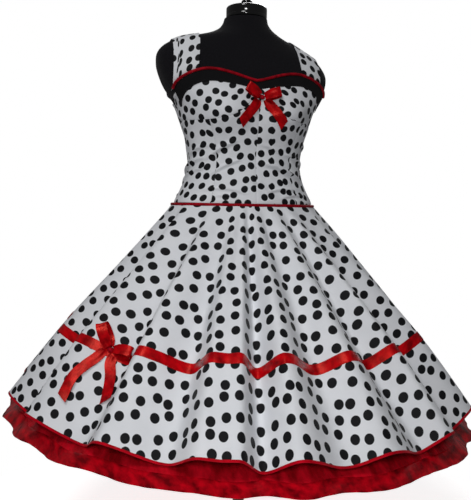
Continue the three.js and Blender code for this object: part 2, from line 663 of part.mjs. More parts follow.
function addForm() {
  const levels = [FORM_BOTTOM, ...BODY.slice(1, -1).map((row) => row[0]), FORM_TOP];
  const angles = girthColumns(-180, 180, 40).slice(0, -1);
  const torso = barrel(angles.length, levels.length, (i, j) => {
    const point = bodyPoint(angles[i], levels[j], BUST.form);
    const inward = bodyNormal(point).setZ(0).normalize().multiplyScalar(-FORM_EASE);
    return raise(point.add(inward));
  });
  add('form_torso', torso, COLORS.jersey, 0.95);
  const neck = SEAM_HEIGHT + FORM_TOP + GAP;
  const crown = neck + CAP_HEIGHT;
  const cap = lathe([
    [0, neck], [CAP_RADIUS - 3, neck], [CAP_RADIUS, neck + 3], [CAP_RADIUS, crown - 9],
    [CAP_RADIUS - 3, crown - 3], [CAP_RADIUS - 9, crown], [0, crown],
  ], 32);
  add('form_neck_cap', cap, COLORS.lacquer, 0.15);
  const seat = crown + GAP;
  const knob = lathe([
    [0, seat], [9, seat], [8, seat + 4], [KNOB_RADIUS, seat + 9], [KNOB_RADIUS - 1, seat + 15],
    [8, seat + KNOB_HEIGHT - 1], [0, seat + KNOB_HEIGHT],
  ], 20);
  add('form_knob', knob, COLORS.lacquer, 0.15);
}

function addStand() {
  const foot = lathe([
    [0, 0], [BASE_RADIUS - 3, 0], [BASE_RADIUS, 3], [BASE_RADIUS - 2, BASE_EDGE],
    [BASE_RADIUS * 0.6, BASE_CROWN - 3], [COLLAR_RADIUS + 6, BASE_CROWN], [0, BASE_CROWN],
  ], 40);
  add('stand_base', foot, COLORS.steel, 0.4, 0.3);
  const seat = BASE_CROWN + GAP;
  const collarTop = seat + COLLAR_HEIGHT;
  const collar = lathe([
    [0, seat], [COLLAR_RADIUS, seat], [COLLAR_RADIUS, seat + 8], [POLE_RADIUS + 5, collarTop], [0, collarTop],
  ], 24);
  add('stand_collar', collar, COLORS.steel, 0.4, 0.3);
  const low = collarTop + GAP;
  const high = SEAM_HEIGHT + FORM_BOTTOM - GAP;
  const pole = lathe([[0, low], [POLE_RADIUS, low], [POLE_RADIUS, high], [0, high]], 24);
  add('stand_pole', pole, COLORS.steel, 0.35, 0.6);
}

addForm();
addStand();
addBodice();
addPipings();
addStraps();
addSkirt();
addBows();
addPetticoat();

export default group;
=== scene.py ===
# %% [markdown]
# # A petticoat dress on its form
# The dress is cotton sateen with black dots: two cups, a close bodice of panels, wide straps and a flared
# skirt that stands on a red petticoat. It is built piece by piece, as it would be sewn, each piece as a
# grid of points that follows one formula. The same formulas made the rigid model that the frame holds,
# so each cloth lies where its solid is, and only gets finer here.

# %% Load the frame
import math
import bpy
import numpy as np
from mathutils import Matrix


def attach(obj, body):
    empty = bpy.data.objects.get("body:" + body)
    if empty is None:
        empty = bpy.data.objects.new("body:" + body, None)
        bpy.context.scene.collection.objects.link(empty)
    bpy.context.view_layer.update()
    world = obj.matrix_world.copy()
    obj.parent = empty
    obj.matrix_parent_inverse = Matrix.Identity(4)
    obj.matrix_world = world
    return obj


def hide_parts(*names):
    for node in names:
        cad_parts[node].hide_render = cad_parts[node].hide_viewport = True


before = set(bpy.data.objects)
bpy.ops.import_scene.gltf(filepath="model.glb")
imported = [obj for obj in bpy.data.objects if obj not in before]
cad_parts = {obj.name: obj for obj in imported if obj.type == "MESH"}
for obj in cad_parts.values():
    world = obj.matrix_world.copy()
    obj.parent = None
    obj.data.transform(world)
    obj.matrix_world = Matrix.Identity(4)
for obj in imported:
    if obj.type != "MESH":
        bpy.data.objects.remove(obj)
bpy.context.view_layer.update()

# %% [markdown]
# ## Camera
# A dress in a shop is photographed from a little to its side, at hip height. A long lens keeps the
# proportions, and the shift moves the picture sideways without turning the dress.

# %% Camera
CAMERA_TURN = -17  # degrees round the dress, towards the wearer's right
CAMERA_DISTANCE = 1.905
CAMERA_HEIGHT = 0.95
CAMERA_DIP = 3.5  # degrees below level
CAMERA_ROLL = 1.0
PICTURE = 500  # the longer side of the picture, in pixels
LENS_PIXELS = 733  # focal length, in pixels
SHIFT_PIXELS = -7
SENSOR = 36


def add_object(name, data):
    item = bpy.data.objects.new(name, data)
    bpy.context.collection.objects.link(item)
    return item


camera = add_object("camera", bpy.data.cameras.new("camera"))
camera.data.sensor_width = SENSOR
camera.data.lens = LENS_PIXELS / PICTURE * SENSOR
camera.data.shift_x = SHIFT_PIXELS / PICTURE
turn = math.radians(CAMERA_TURN)
place = (CAMERA_DISTANCE * math.sin(turn), -CAMERA_DISTANCE * math.cos(turn), CAMERA_HEIGHT)
aim = Matrix.Rotation(turn, 4, "Z") @ Matrix.Rotation(math.radians(90 - CAMERA_DIP), 4, "X")
camera.matrix_world = Matrix.Translation(place) @ aim @ Matrix.Rotation(math.radians(CAMERA_ROLL), 4, "Z")
bpy.context.scene.camera = camera
print("camera at", [round(value, 3) for value in place], "lens", round(camera.data.lens, 1))

# %% [markdown]
# ## Light
# The room is white and seems brighter than it lights, so that the cloth keeps its shade. A light near the
# camera keeps the lower skirt bright, a higher one draws the folds and creases as soft grey, and one
# from behind gives the edges their rim.

# %% Lights
ROOM_LIGHT = 0.1  # the white room is seen at full strength, but lights the dress this much only


def area_light(name, place, target, size, watts, spread=180):
    light = add_object(name, bpy.data.lights.new(name, "AREA"))
    light.data.shape = "DISK"
    light.data.size = size
    light.data.energy = watts
    light.data.spread = math.radians(spread)
    light.location = place
    direction = np.array(target) - np.array(place)
    level = math.hypot(direction[0], direction[1])
    light.rotation_euler = (math.atan2(level, -direction[2]), 0, math.atan2(-direction[0], direction[1]))


area_light("front light", (-0.75, -2.0, 1.25), (0, 0, 0.42), 0.45, 4.5, 100)
area_light("high light", (-1.7, -2.2, 4.0), (0, 0, 0.8), 1.1, 47)
area_light("back light", (1.6, 3.0, 3.6), (0, 0, 0.8), 1.6, 60)
world = bpy.data.worlds.new("white studio")
world.use_nodes = True
seen = world.node_tree.nodes.new("ShaderNodeLightPath")
level = world.node_tree.nodes.new("ShaderNodeMath")
level.operation = "MULTIPLY_ADD"
world.node_tree.links.new(seen.outputs["Is Camera Ray"], level.inputs[0])
level.inputs[1].default_value = 1 - ROOM_LIGHT
level.inputs[2].default_value = ROOM_LIGHT
background = world.node_tree.nodes["Background"]
background.inputs["Color"].default_value = (1, 1, 1, 1)
world.node_tree.links.new(level.outputs["Value"], background.inputs["Strength"])
bpy.context.scene.world = world
bpy.context.scene.view_settings.view_transform = "Standard"

# %% [markdown]
# ## Sizes
# All sizes of the dress are in millimetres, and heights of the dress are measured from its hip seam.
# Tables give the form's sections, the neckline and the folds; a smooth curve runs through their rows.

# %% Sizes of the dress
MM = 0.001
SEAM_HEIGHT = 950
SKIRT_DROP = 476
FORM_TOP = 472
CLOTH = 1.5  # outer face of the cotton, from the inside of the bodice
GAP = 0.3
RIBBON_WIDTH = 24
BINDING_WIDTH = 5.5
PIPING_RADIUS = 3.8
PIPING_SINK = 0.2
FORM_EASE = 1.2
GIRTH_MEAN = 150  # mean radius of the body, for places measured along it
WAIST_ARC = math.radians(1) * GIRTH_MEAN  # along the body for each degree
LIFT = np.array([0, 0, SEAM_HEIGHT])

# height, half width, front depth, back depth, exponent, lean
BODY = [
    [-150, 170, 106, 118, 2.2, 0],
    [-90, 184, 112, 126, 2.2, 0],
    [-40, 187, 114, 128, 2.2, 0],
    [0, 182, 112, 122, 2.2, 0],
    [39, 163, 107, 112, 2.2, 0],
    [65, 152, 103, 104, 2.2, 0],
    [91, 146, 100, 99, 2.2, 0],
    [117, 146, 100, 98, 2.2, 0],
    [143, 150, 104, 100, 2.2, 0],
    [169, 155, 110, 104, 2.2, 0],
    [195, 163, 114, 109, 2.25, 0],
    [218, 170, 116, 113, 2.3, 0],
    [243, 179, 115, 116, 2.4, 0],
    [268, 194, 111, 118, 2.5, 0],
    [295, 211, 105, 117, 2.5, -2],
    [330, 222, 96, 112, 2.5, -6],
    [352, 220, 89, 107, 2.5, -12],
    [376, 208, 82, 100, 2.4, -21],
    [396, 182, 76, 93, 2.3, -28],
    [412, 150, 71, 86, 2.2, -24],
    [428, 101, 66, 79, 2.1, -8],
    [443, 73, 62, 72, 2, -3],
    [458, 60, 59, 63, 2, -3],
    [472, 56, 55, 56, 2, -2],
]
BUST_HEIGHT, BUST_SPREAD = 228, 46
BUST_ANGLE, BUST_HALF_ANGLE = 34, 21
BUST_CUP, BUST_FORM = 26, 20

# degrees from the front, height above the hip seam
NECKLINE = [
    [0, 298], [9, 301], [18, 306], [33, 315], [45, 321], [53, 322], [60, 317], [66, 307],
    [72, 293], [77, 279], [84, 262], [90, 254], [100, 251], [120, 260], [150, 273], [180, 278],
]
UNDER_BUST = [[0, 262], [7, 255], [14, 241], [21, 225], [30, 213], [42, 207], [60, 205], [90, 208]]
BAND_DEPTH = [[0, 17], [18, 19], [35, 24], [53, 27], [66, 33], [77, 36]]
BAND_END = 77
PRINCESS_SEAM = 50
SIDE_SEAM = 90
BODICE_BOTTOM = 4.1
# turn over the shoulder, distance of the strap's inner and outer edges from the middle
STRAP = [[0, 136, 187], [45, 127, 187], [90, 119, 184], [135, 122, 182], [180, 128, 180]]
STRAP_SHIFT = -11  # both straps sit this much towards the wearer's right

HEM_RADIUS = 560
HEM_TILT = 1.3
HEM_DIP = 1.5
SKIRT_TOP = 4.1
SEAM_OFFSET = 2.2
# share of the slant, fold depth there against that at the hem
FOLD_SHARE = [[0, 0], [0.1, 0.2], [0.2, 0.38], [0.4, 0.76], [0.6, 1.08], [0.72, 1.18], [0.86, 1.12], [1, 1]]
RIBBON_MIDDLE = 0.68
# ridge angle, ridge height, valley angle, valley depth
FOLDS = [
    [-159, 25, -148, 24],
    [-136, 21, -124, 23],
    [-112, 20, -99, 24],
    [-87, 22, -73.5, 25],
    [-69, 26, -53, 26],
    [-45, 24, -32, 24],
    [-24, 24, -20.5, -21],
    [-17, 25, -12, 27],
    [-5, 26, 6, 19],
    [15, 22, 28, 25],
    [34, 25, 47, 21],
    [58, 26, 70, 24],
    [82, 23, 94, 25],
    [106, 27, 117, 22],
    [129, 24, 141, 26],
    [153, 26, 165, 24],
    [178, 23, 189, 25],
]
# drop below the hip seam, petticoat's distance inside the skirt's cone
PETTICOAT_INSET = [[6, 2.0], [60, 14], [150, 31], [300, 51], [420, 56], [474, 53], [492, 53]]
FLOUNCE_TOP, FLOUNCE_BEND, SATIN_TOP, FLOUNCE_BOTTOM = 300, 492, 510, 526
FLOUNCE_RADIUS = 584
FLOUNCE_WAVES = 20
WAVE_HEIGHT = 6
WAVE_GROWTH = 1.3
WAVE_LIFT = 1.6


def curve(table, at, column=1):
    """A smooth curve through the rows of a table; the first column is the place."""
    rows = np.array(table, float)
    place, value = rows[:, 0], rows[:, column]
    slope = np.empty(len(rows))
    slope[1:-1] = (value[2:] - value[:-2]) / (place[2:] - place[:-2])
    slope[0] = (value[1] - value[0]) / (place[1] - place[0])
    slope[-1] = (value[-1] - value[-2]) / (place[-1] - place[-2])
    at = np.clip(at, place[0], place[-1])
    i = np.clip(np.searchsorted(place, at, side="right") - 1, 0, len(rows) - 2)
    step = place[i + 1] - place[i]
    t = (at - place[i]) / step
    rise = value[i + 1] - value[i]
    bend = (slope[i] * step - rise) * (1 - t) - (slope[i + 1] * step - rise) * t
    return value[i] + rise * t + t * (1 - t) * bend


print("waist", curve(BODY, 104, 1) * 2, "mm wide, hem", HEM_RADIUS * 2)

# %% [markdown]
# ## From a grid of points to a piece of cloth
# Cloth is thin but not flat like paper, so each piece is a closed shell: a grid of points for its outer
# face, one for its inner face, and a rim that joins them. Every corner also gets its place on the flat
# cloth, in metres, as a UV map. A pattern that reads this map has its real size on every piece.

# %% Shell of cloth
def flat_places(grid, turn=0.0, shift=(0.0, 0.0), upright=False):
    """Where each point of a grid lies on the flat cloth, in metres, from distances along the grid.
    With upright columns, the lower edge keeps its rise and fall."""
    spots = grid[..., :2] if upright else grid
    across = np.linalg.norm(np.diff(spots, axis=0), axis=2)
    along = np.linalg.norm(np.diff(grid, axis=1), axis=2)
    u = np.concatenate([np.zeros((1, grid.shape[1])), np.cumsum(across, axis=0)])
    u -= u[len(u) // 2]
    rise = grid[:, :1, 2] - grid[0, 0, 2] if upright else 0
    v = rise + np.concatenate([np.zeros((grid.shape[0], 1)), np.cumsum(along, axis=1)], axis=1)
    return turned(np.stack([u, v], axis=2) * MM, turn, shift)


def ring_flat(grid):
    """Flat places of a grid that closes round: its first column is met again at the end."""
    return flat_places(np.concatenate([grid, grid[:1]]))


def turned(flat, turn, shift):
    """Flat places turned, and shifted so that each piece gets its own stretch of the print."""
    c, s = math.cos(math.radians(turn)), math.sin(math.radians(turn))
    return flat @ np.array([[c, s], [-s, c]]) + np.array(shift)


def finish_piece(name, mesh, uvs, material, sharp=50):
    """Gives a mesh its flat map, its shading and its finish, and makes an object of it."""
    layer = mesh.uv_layers[0] if mesh.uv_layers else mesh.uv_layers.new()
    layer.name = "flat_metres"
    layer.data.foreach_set("uv", np.asarray(uvs, np.float32).reshape(-1))
    mesh.shade_smooth()
    mesh.set_sharp_from_angle(angle=math.radians(sharp))
    mesh.materials.clear()
    mesh.materials.append(material)
    return add_object(name, mesh)


def make_piece(name, points, faces, uvs, material):
    """A mesh object whose faces point outwards; points are in millimetres."""
    points = np.asarray(points) * MM
    a, b, c, d = (points[faces[:, k]] for k in range(4))
    volume = np.einsum("ij,ij->", a, np.cross(b, c)) + np.einsum("ij,ij->", a, np.cross(c, d))
    if volume < 0:
        faces, uvs = faces[:, ::-1], uvs[:, ::-1]
    mesh = bpy.data.meshes.new(name)
    mesh.from_pydata(points.tolist(), [], faces.tolist())
    return finish_piece(name, mesh, uvs, material)


def shell(name, outer, inner, flat, material, ring=False):
    """A closed thin piece between two grids [column, row, xyz]."""
    columns, rows = outer.shape[:2]
    index = np.arange(columns * rows).reshape(columns, rows)
    spot = np.arange(flat.shape[0] * rows).reshape(-1, rows)
    if ring:
        here, there = index, np.roll(index, -1, axis=0)
    else:
        here, there = index[:-1], index[1:]
    here_uv, there_uv = spot[: len(here)], spot[1: len(here) + 1]
    inside = columns * rows

    def quads(*corners):
        return np.stack([np.ravel(corner) for corner in corners], axis=1)

    faces, places = [], []
    corners = (here[:, :-1], there[:, :-1], there[:, 1:], here[:, 1:])
    spots = (here_uv[:, :-1], there_uv[:, :-1], there_uv[:, 1:], here_uv[:, 1:])
    faces.append(quads(*corners))
    places.append(quads(*spots))
    faces.append(quads(*corners[::-1]) + inside)
    places.append(quads(*spots[::-1]))
    for row, way in ((0, 1), (rows - 1, -1)):
        edge = (here[:, row] + inside, there[:, row] + inside, there[:, row], here[:, row])
        spots = (here_uv[:, row], there_uv[:, row], there_uv[:, row], here_uv[:, row])
        faces.append(quads(*edge[::way]))
        places.append(quads(*spots[::way]))
    if not ring:
        for column, way in ((0, 1), (columns - 1, -1)):
            line = index[column]
            edge = (line[:-1], line[1:], line[1:] + inside, line[:-1] + inside)
            spots = (spot[column][:-1], spot[column][1:], spot[column][1:], spot[column][:-1])
            faces.append(quads(*edge[::way]))
            places.append(quads(*spots[::way]))
    points = np.concatenate([outer.reshape(-1, 3), inner.reshape(-1, 3)])
    uvs = flat.reshape(-1, 2)[np.concatenate(places)]
    return make_piece(name, points, np.concatenate(faces), uvs, material)


def settle(piece, node):
    """Ties a finished piece to the root body, hides the rigid node that it stands for, and prints its face
    count.
    """
    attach(piece, "root")
    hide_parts(node)
    print(piece.name, len(piece.data.polygons), "faces")


# %% [markdown]
# ## Materials
# A finish is a small node tree. White cotton sateen has a soft sheen and a fine weave; its dots are
# printed, so they change the colour and leave the weave. Satin is glossier and has fine ribs across the
# ribbon. One helper adds a node with its settings and links, which keeps each tree short to read.

# %% Helpers for materials
def linear(color):
    """Turns an sRGB hex colour into the linear values that shaders use."""
    parts = [int(color[k:k + 2], 16) / 255 for k in (1, 3, 5)]
    return [p / 12.92 if p <= 0.04045 else ((p + 0.055) / 1.055) ** 2.4 for p in parts] + [1.0]


def add_node(tree, kind, links=None, **settings):
    """Adds a node. Links gives its inputs, by name or number, as a value or another node's output."""
    node = tree.nodes.new(kind)
    for name, value in settings.items():
        setattr(node, name, value)
    for name, value in (links or {}).items():
        if isinstance(value, bpy.types.NodeSocket):
            tree.links.new(value, node.inputs[name])
        else:
            node.inputs[name].default_value = value
    return node


SOCKETS = {
    "ior": "IOR",
    "sheen": "Sheen Weight",
    "sheen_roughness": "Sheen Roughness",
    "coat": "Coat Weight",
    "coat_roughness": "Coat Roughness",
    "anisotropy": "Anisotropic",
    "specular": "Specular IOR Level",
    "tint": "Specular Tint",
    "metallic": "Metallic",
}


def new_finish(name, color, roughness, **sockets):
    """A material with one Principled shader; its even values are set on the shader's own sockets."""
    material = bpy.data.materials.new(name)
    material.use_nodes = True
    material.diffuse_color = linear(color)
    shader = material.node_tree.nodes["Principled BSDF"]
    shader.inputs["Base Color"].default_value = linear(color)
    shader.inputs["Roughness"].default_value = roughness
    for socket, value in sockets.items():
        shader.inputs[SOCKETS[socket]].default_value = value
    return material, material.node_tree, shader


def threads(tree, place, pitch, direction="X", distortion=0.0):
    """Even threads or ribs with a pitch in metres; a wave's period is 2 pi / 20 of its scale."""
    scale = 2 * math.pi / 20 / pitch
    return add_node(tree, "ShaderNodeTexWave", {"Vector": place, "Scale": scale, "Distortion": distortion},
                    bands_direction=direction).outputs["Fac"]


def add_bump(tree, height, depth, strength=1.0, normal=None):
    links = {"Height": height, "Distance": depth, "Strength": strength}
    if normal:
        links["Normal"] = normal
    return add_node(tree, "ShaderNodeBump", links).outputs["Normal"]


def flat_place(tree):
    return add_node(tree, "ShaderNodeUVMap", uv_map="flat_metres").outputs["UV"]


def mixed(tree, share, first, second):
    links = {0: share, 6: first, 7: second}
    return add_node(tree, "ShaderNodeMix", links, data_type="RGBA").outputs[2]


def drawn_out(tree, place, scale):
    """Places for a pattern that is longer down the cloth than across; the scale is one or less."""
    links = {"Vector": place, "Scale": (1.0, scale, 1.0)}
    return add_node(tree, "ShaderNodeMapping", links).outputs["Vector"]


def ranged(tree, value, low, high, new_low=0.0, new_high=1.0):
    """Stretches values between low and high to a new range, and cuts off what lies outside it."""
    links = {"Value": value, "From Min": low, "From Max": high, "To Min": new_low, "To Max": new_high}
    return add_node(tree, "ShaderNodeMapRange", links).outputs["Result"]


def noise(tree, place, scale, detail, distortion=0.0):
    links = {"Vector": place, "Scale": scale, "Detail": detail, "Distortion": distortion}
    return add_node(tree, "ShaderNodeTexNoise", links).outputs["Fac"]


def crossed(tree, first, second):
    """Two sets of threads, one over the other."""
    return add_node(tree, "ShaderNodeMath", {0: first, 1: second}, operation="MULTIPLY").outputs[0]


# %% [markdown]
# ### Dotted cotton sateen
# The bodice's dots are 17.8 mm across and lie about 27 mm apart. The skirt hangs on the bias, and its
# weight draws its print out, so its dots are longer than wide and lie further apart. A Voronoi texture
# gives each cell one point, and the distance to it, so a dot is where this distance is under the dot's
# radius. A randomness well under one keeps most points apart. The weave is a bump of two sets of threads.

# %% Cotton sateen
DOT_EDGE = 0.0003  # half the width of a dot's soft rim
DOT_SCATTER = 0.4


def cotton_with_dots(name, dot_radius, dot_pitch, stretch=1.0):
    """White cotton with black dots; stretch is how much longer than wide a dot is."""
    material, tree, shader = new_finish(name, "#dfe1e6", 0.7, sheen=0.06, sheen_roughness=0.4, specular=0.2)
    place = flat_place(tree)
    drawn = drawn_out(tree, place, 1 / stretch)
    links = {"Vector": drawn, "Scale": 1 / dot_pitch, "Randomness": DOT_SCATTER}
    cells = add_node(tree, "ShaderNodeTexVoronoi", links, voronoi_dimensions="2D")
    rim = (dot_radius - DOT_EDGE) / dot_pitch, (dot_radius + DOT_EDGE) / dot_pitch
    dot = ranged(tree, cells.outputs["Distance"], *rim, 1.0, 0.0)
    white = mixed(tree, noise(tree, place, 14, 3.0), linear("#d8dbe0"), linear("#e9eaee"))
    tree.links.new(mixed(tree, dot, white, linear("#0b0b0f")), shader.inputs["Base Color"])
    weave = crossed(tree, threads(tree, place, 0.00042, "X"), threads(tree, place, 0.00050, "Y"))
    soft_bump = add_bump(tree, noise(tree, place, 28, 2.0), 0.0016, 0.5)
    tree.links.new(add_bump(tree, weave, 0.00006, 0.6, soft_bump), shader.inputs["Normal"])
    return material


COTTON = cotton_with_dots("dotted cotton sateen", 0.0089, 0.0275)
SKIRT_COTTON = cotton_with_dots("dotted cotton sateen of the skirt", 0.0095, 0.032, 1.15)

# %% [markdown]
# ### Plain cotton and satins
# These cloths have one colour, ribs or threads of their own pitch, and slow patches of a darker colour.
# On the satins these patches are painted shade and painted highlight, in place of the light on a glossy,
# crumpled cloth; on the black cotton and the threads they are a faint change of tone. The satins are one
# red in different states: flat as a ribbon, crumpled at the flounce, and rolled as a piping. A tint keeps
# their highlights red, as in dyed silk or polyester.

# %% Plain cotton and satins
def woven_finish(name, color, dark, roughness, pitch, direction, depth, mottle=24, **sockets):
    """Cloth of one colour with ribs or threads; its slow patches are painted shade on satin, tone on plain
    cloth.
    """
    material, tree, shader = new_finish(name, color, roughness, **sockets)
    place = flat_place(tree)
    # darker and lighter patches in the base colour: painted shade and highlight on the satins, a faint change
    # of tone on plain cloth and thread
    shade = noise(tree, place, mottle, 4.0)
    share = ranged(tree, shade, 0.36, 0.64)
    tree.links.new(mixed(tree, share, linear(dark), linear(color)), shader.inputs["Base Color"])
    rib = threads(tree, place, pitch, direction)
    soft_bump = add_bump(tree, shade, 0.0012, 0.4)
    tree.links.new(add_bump(tree, rib, depth, 0.5, soft_bump), shader.inputs["Normal"])
    return material


# Black cotton: matte, so it stays dark next to the satin piping
BLACK_COTTON = woven_finish("black cotton", "#0a090c", "#050507", 0.9, 0.0005, "X", 0.00008,
                            sheen=0.03, specular=0.2)
# Red satin: a clear red with a narrow highlight, and patches of painted shade in a darker red
RED_SATIN = woven_finish("red satin ribbon", "#cc0412", "#7c0009", 0.27, 0.0004, "Y", 0.00004, 40,
                         anisotropy=0.3, specular=0.9, tint=linear("#ff5c4c"))
# The petticoat's edge is a softer satin, which is crumpled where the flounce folds; its deep red patches are
# painted shade
EDGE_SATIN = woven_finish("red satin edge", "#c8061a", "#6c020c", 0.24, 0.0004, "Y", 0.00004, 38,
                          anisotropy=0.2, specular=0.4, tint=linear("#ff5448"))
# Binding: a bias strip of the same satin, pulled flat, so it shows less light and shade
BINDING = woven_finish("red satin binding", "#c40620", "#a00416", 0.5, 0.0004, "X", 0.00004, 40,
                       specular=0.3, tint=linear("#ff5048"))
# Piping: the same satin, cut on the bias and rolled round a cord, in a darker red. The bows' knots take
# this finish too: there its darker red is painted shade of the ribbon wrapped round the knot
PIPING_AND_KNOT_SHADE = woven_finish("dark red piping and painted knot shade", "#a80c20", "#740614", 0.42, 0.0006, "X", 0.00008, 60,
                      specular=0.3, tint=linear("#ff6058"))

# %% [markdown]
# ### Organza
# Organza is stiff and thin, and its small crumples catch the light. A gathered flounce lies in many
# folds, so little light comes through, and the shader can stay opaque. The crumples are a stretched
# noise used as a bump, longer down the flounce than round it.

# %% Organza
def organza():
    material, tree, shader = new_finish("red organza", "#a00818", 0.36, specular=0.3,
                                        tint=linear("#ff4a40"))
    place = flat_place(tree)
    drawn = drawn_out(tree, place, 0.35)
    crumple = noise(tree, drawn, 120, 5.0, 0.6)
    depth = ranged(tree, noise(tree, drawn, 45, 3.0), 0.35, 0.65)
    tree.links.new(mixed(tree, depth, linear("#84040f"), linear("#cc0e22")), shader.inputs["Base Color"])
    net = crossed(tree, threads(tree, place, 0.0007, "X"), threads(tree, place, 0.0007, "Y"))
    soft_bump = add_bump(tree, crumple, 0.0022, 0.8)
    tree.links.new(add_bump(tree, net, 0.00008, 0.5, soft_bump), shader.inputs["Normal"])
    return material


ORGANZA = organza()

# %% [markdown]
# ### Jersey, lacquer and painted steel
# The form is covered in charcoal jersey: fine vertical ribs of loops and no shine. Its neck ends in a
# glossy black cap. The stand is steel with a satin black paint, which has a faint orange-peel surface.

# %% Finishes of the form and its stand
def jersey():
    material, tree, shader = new_finish("charcoal jersey", "#100f13", 0.95, sheen=0.05, sheen_roughness=0.5,
                                        specular=0.15)
    place = flat_place(tree)
    loops = crossed(tree, threads(tree, place, 0.0011, "X", 0.4), threads(tree, place, 0.0008, "Y", 0.4))
    fluff = ranged(tree, noise(tree, place, 300, 3.0), 0.4, 0.8)
    tree.links.new(mixed(tree, fluff, linear("#0d0c10"), linear("#19181d")), shader.inputs["Base Color"])
    tree.links.new(add_bump(tree, loops, 0.00022, 0.7), shader.inputs["Normal"])
    return material


def hard_finish(name, color, roughness, grain, depth, **sockets):
    """Lacquer or paint: a slow ripple in the surface, and a roughness that varies with handling."""
    material, tree, shader = new_finish(name, color, roughness, **sockets)
    place = add_node(tree, "ShaderNodeTexCoord").outputs["Object"]
    worn = ranged(tree, noise(tree, place, 18, 5.0), 0.3, 0.7, roughness * 0.8, roughness * 1.35)
    tree.links.new(worn, shader.inputs["Roughness"])
    tree.links.new(add_bump(tree, noise(tree, place, grain, 2.0), depth, 0.5), shader.inputs["Normal"])
    return material


JERSEY = jersey()
# Lacquer: a clear coat over black, so it mirrors the lights in small sharp spots
LACQUER = hard_finish("black lacquer", "#050506", 0.12, 60, 0.0002, coat=0.6, coat_roughness=0.05)
# Paint on steel: softer highlights and a fine grain
STEEL_PAINT = hard_finish("black painted steel", "#101013", 0.38, 700, 0.0001, coat=0.2, coat_roughness=0.2)
FINISHES = (COTTON, SKIRT_COTTON, BLACK_COTTON, RED_SATIN, EDGE_SATIN, BINDING, PIPING_AND_KNOT_SHADE, ORGANZA, JERSEY)
print("finishes", [finish.name for finish in (*FINISHES, LACQUER, STEEL_PAINT)])

# %% [markdown]
# ## The form's body
# The torso is a stack of rounded sections, squarer at the chest than at the waist, with two soft rises
# at the bust. Every bodice piece is laid on this body: a point of cloth is a point of the body moved out
# along the body's normal. The normal comes from how fast the distance to the body changes.

# %% Body
LEVEL = np.array([1, 1, 0])
GIRTH_RATIO = 1.5  # width against depth, which spaces the columns round the body evenly


def unit(vectors):
    return vectors / np.linalg.norm(vectors, axis=-1, keepdims=True)


def body_radius(angle, height, rise=BUST_CUP):
    """Level distance of the body's surface from its middle; rise is the bust's."""
    turn = np.radians(angle)
    depth = np.where(np.cos(turn) > 0, curve(BODY, height, 2), curve(BODY, height, 3))
    power = curve(BODY, height, 4)
    across = np.abs(np.sin(turn)) / curve(BODY, height, 1)
    along = np.abs(np.cos(turn)) / depth
    round_part = (across ** power + along ** power) ** (-1 / power)
    side = (np.abs(angle) - BUST_ANGLE) / BUST_HALF_ANGLE
    level = (height - BUST_HEIGHT) / BUST_SPREAD
    return round_part + rise * np.exp(-side ** 2 - level ** 2)


def body_point(angle, height, rise=BUST_CUP):
    angle, height = np.broadcast_arrays(np.asarray(angle, float), np.asarray(height, float))
    radius, turn = body_radius(angle, height, rise), np.radians(angle)
    return np.stack([curve(BODY, height, 5) + radius * np.sin(turn), -radius * np.cos(turn), height], axis=-1)


def outside(points, rise=BUST_CUP):
    """How far points lie outside the body, measured level."""
    across = points[..., 0] - curve(BODY, points[..., 2], 5)
    angle = np.degrees(np.arctan2(across, -points[..., 1]))
    return np.hypot(across, points[..., 1]) - body_radius(angle, points[..., 2], rise)


def body_normal(points, rise=BUST_CUP):
    slopes = [outside(points + step, rise) - outside(points - step, rise) for step in 0.5 * np.eye(3)]
    return unit(np.stack(slopes, axis=-1))


def on_body(angle, height, out, rise=BUST_CUP):
    point = body_point(angle, height, rise)
    moved = point + body_normal(point, rise) * np.asarray(out)[..., None]
    return moved + LIFT


def girth_turn(angle):
    return math.atan2(math.sin(math.radians(angle)), GIRTH_RATIO * math.cos(math.radians(angle)))


def girth_columns(start, end, steps):
    """Angles round the body, spaced evenly along its girth."""
    turns = np.linspace(girth_turn(start), girth_turn(end), steps + 1)
    return np.degrees(np.arctan2(GIRTH_RATIO * np.sin(turns), np.cos(turns)))


print("girth columns of a cup", np.round(girth_columns(0, 90, 6)))

# %% [markdown]
# ## Creases of the bodice
# A close bodice has slack where the body narrows: soft ridges run down from the bust to the sides of the
# waist, and short level ones lie above the hip. They are listed one by one, each with its own length, width
# and height. The cloth can't sink into the form, so a crease is mostly a ridge with a shallow trough.

# %% Creases listed one by one
# start angle, start height, end angle, end height, half width, ridge height
BODICE_CREASES = [
    [-112, 62, -62, 118, 5.4, 7.5],
    [-62, 110, -24, 158, 4.8, 5.6],
    [-104, 48, -58, 92, 4.1, 5.3],
    [-88, 118, -56, 146, 4.1, 3.9],
    [-58, 70, -20, 112, 4.1, 4.4],
    [-98, 246, -80, 268, 3.4, 5.6],
    [8, 104, 62, 64, 5.4, 7],
    [-12, 64, 26, 24, 4.8, 5.3],
    [30, 92, 74, 50, 4.1, 4.8],
    [40, 128, 84, 96, 4.1, 4.4],
    [4, 150, 34, 126, 4.1, 3.4],
    [-66, 34, -10, 26, 3.4, 3.9],
    [-50, 20, -22, 16, 2.7, 3.1],
    [12, 30, 56, 38, 3.4, 3.7],
    [30, 18, 70, 22, 3.4, 3.2],
    [66, 160, 96, 128, 4.1, 3.9],
    [104, 120, 142, 78, 5.4, 6.1],
    [118, 60, 160, 40, 4.8, 4.8],
    [-120, 110, -158, 74, 4.8, 5.6],
    [-140, 40, -176, 30, 4.1, 4.1],
    [150, 24, 178, 30, 3.4, 3.4],
    [96, 30, 128, 22, 3.4, 3.4],
    [-96, 24, -126, 32, 3.4, 3.7],
]


CREASE_BOW = 0.06  # how far a crease bends aside, against its length
TROUGH_DEPTH, TROUGH_SHIFT = 0.35, 1.9  # against the ridge's height and half width
# millimetres round the body and up it for a turn of one radian, height, start
SLOW_WAVES = [[17, 23, 0.45, 0], [29, -14, 0.4, 1.3]]
DEEPEST = -1.2  # a crease can't sink further into the form than this


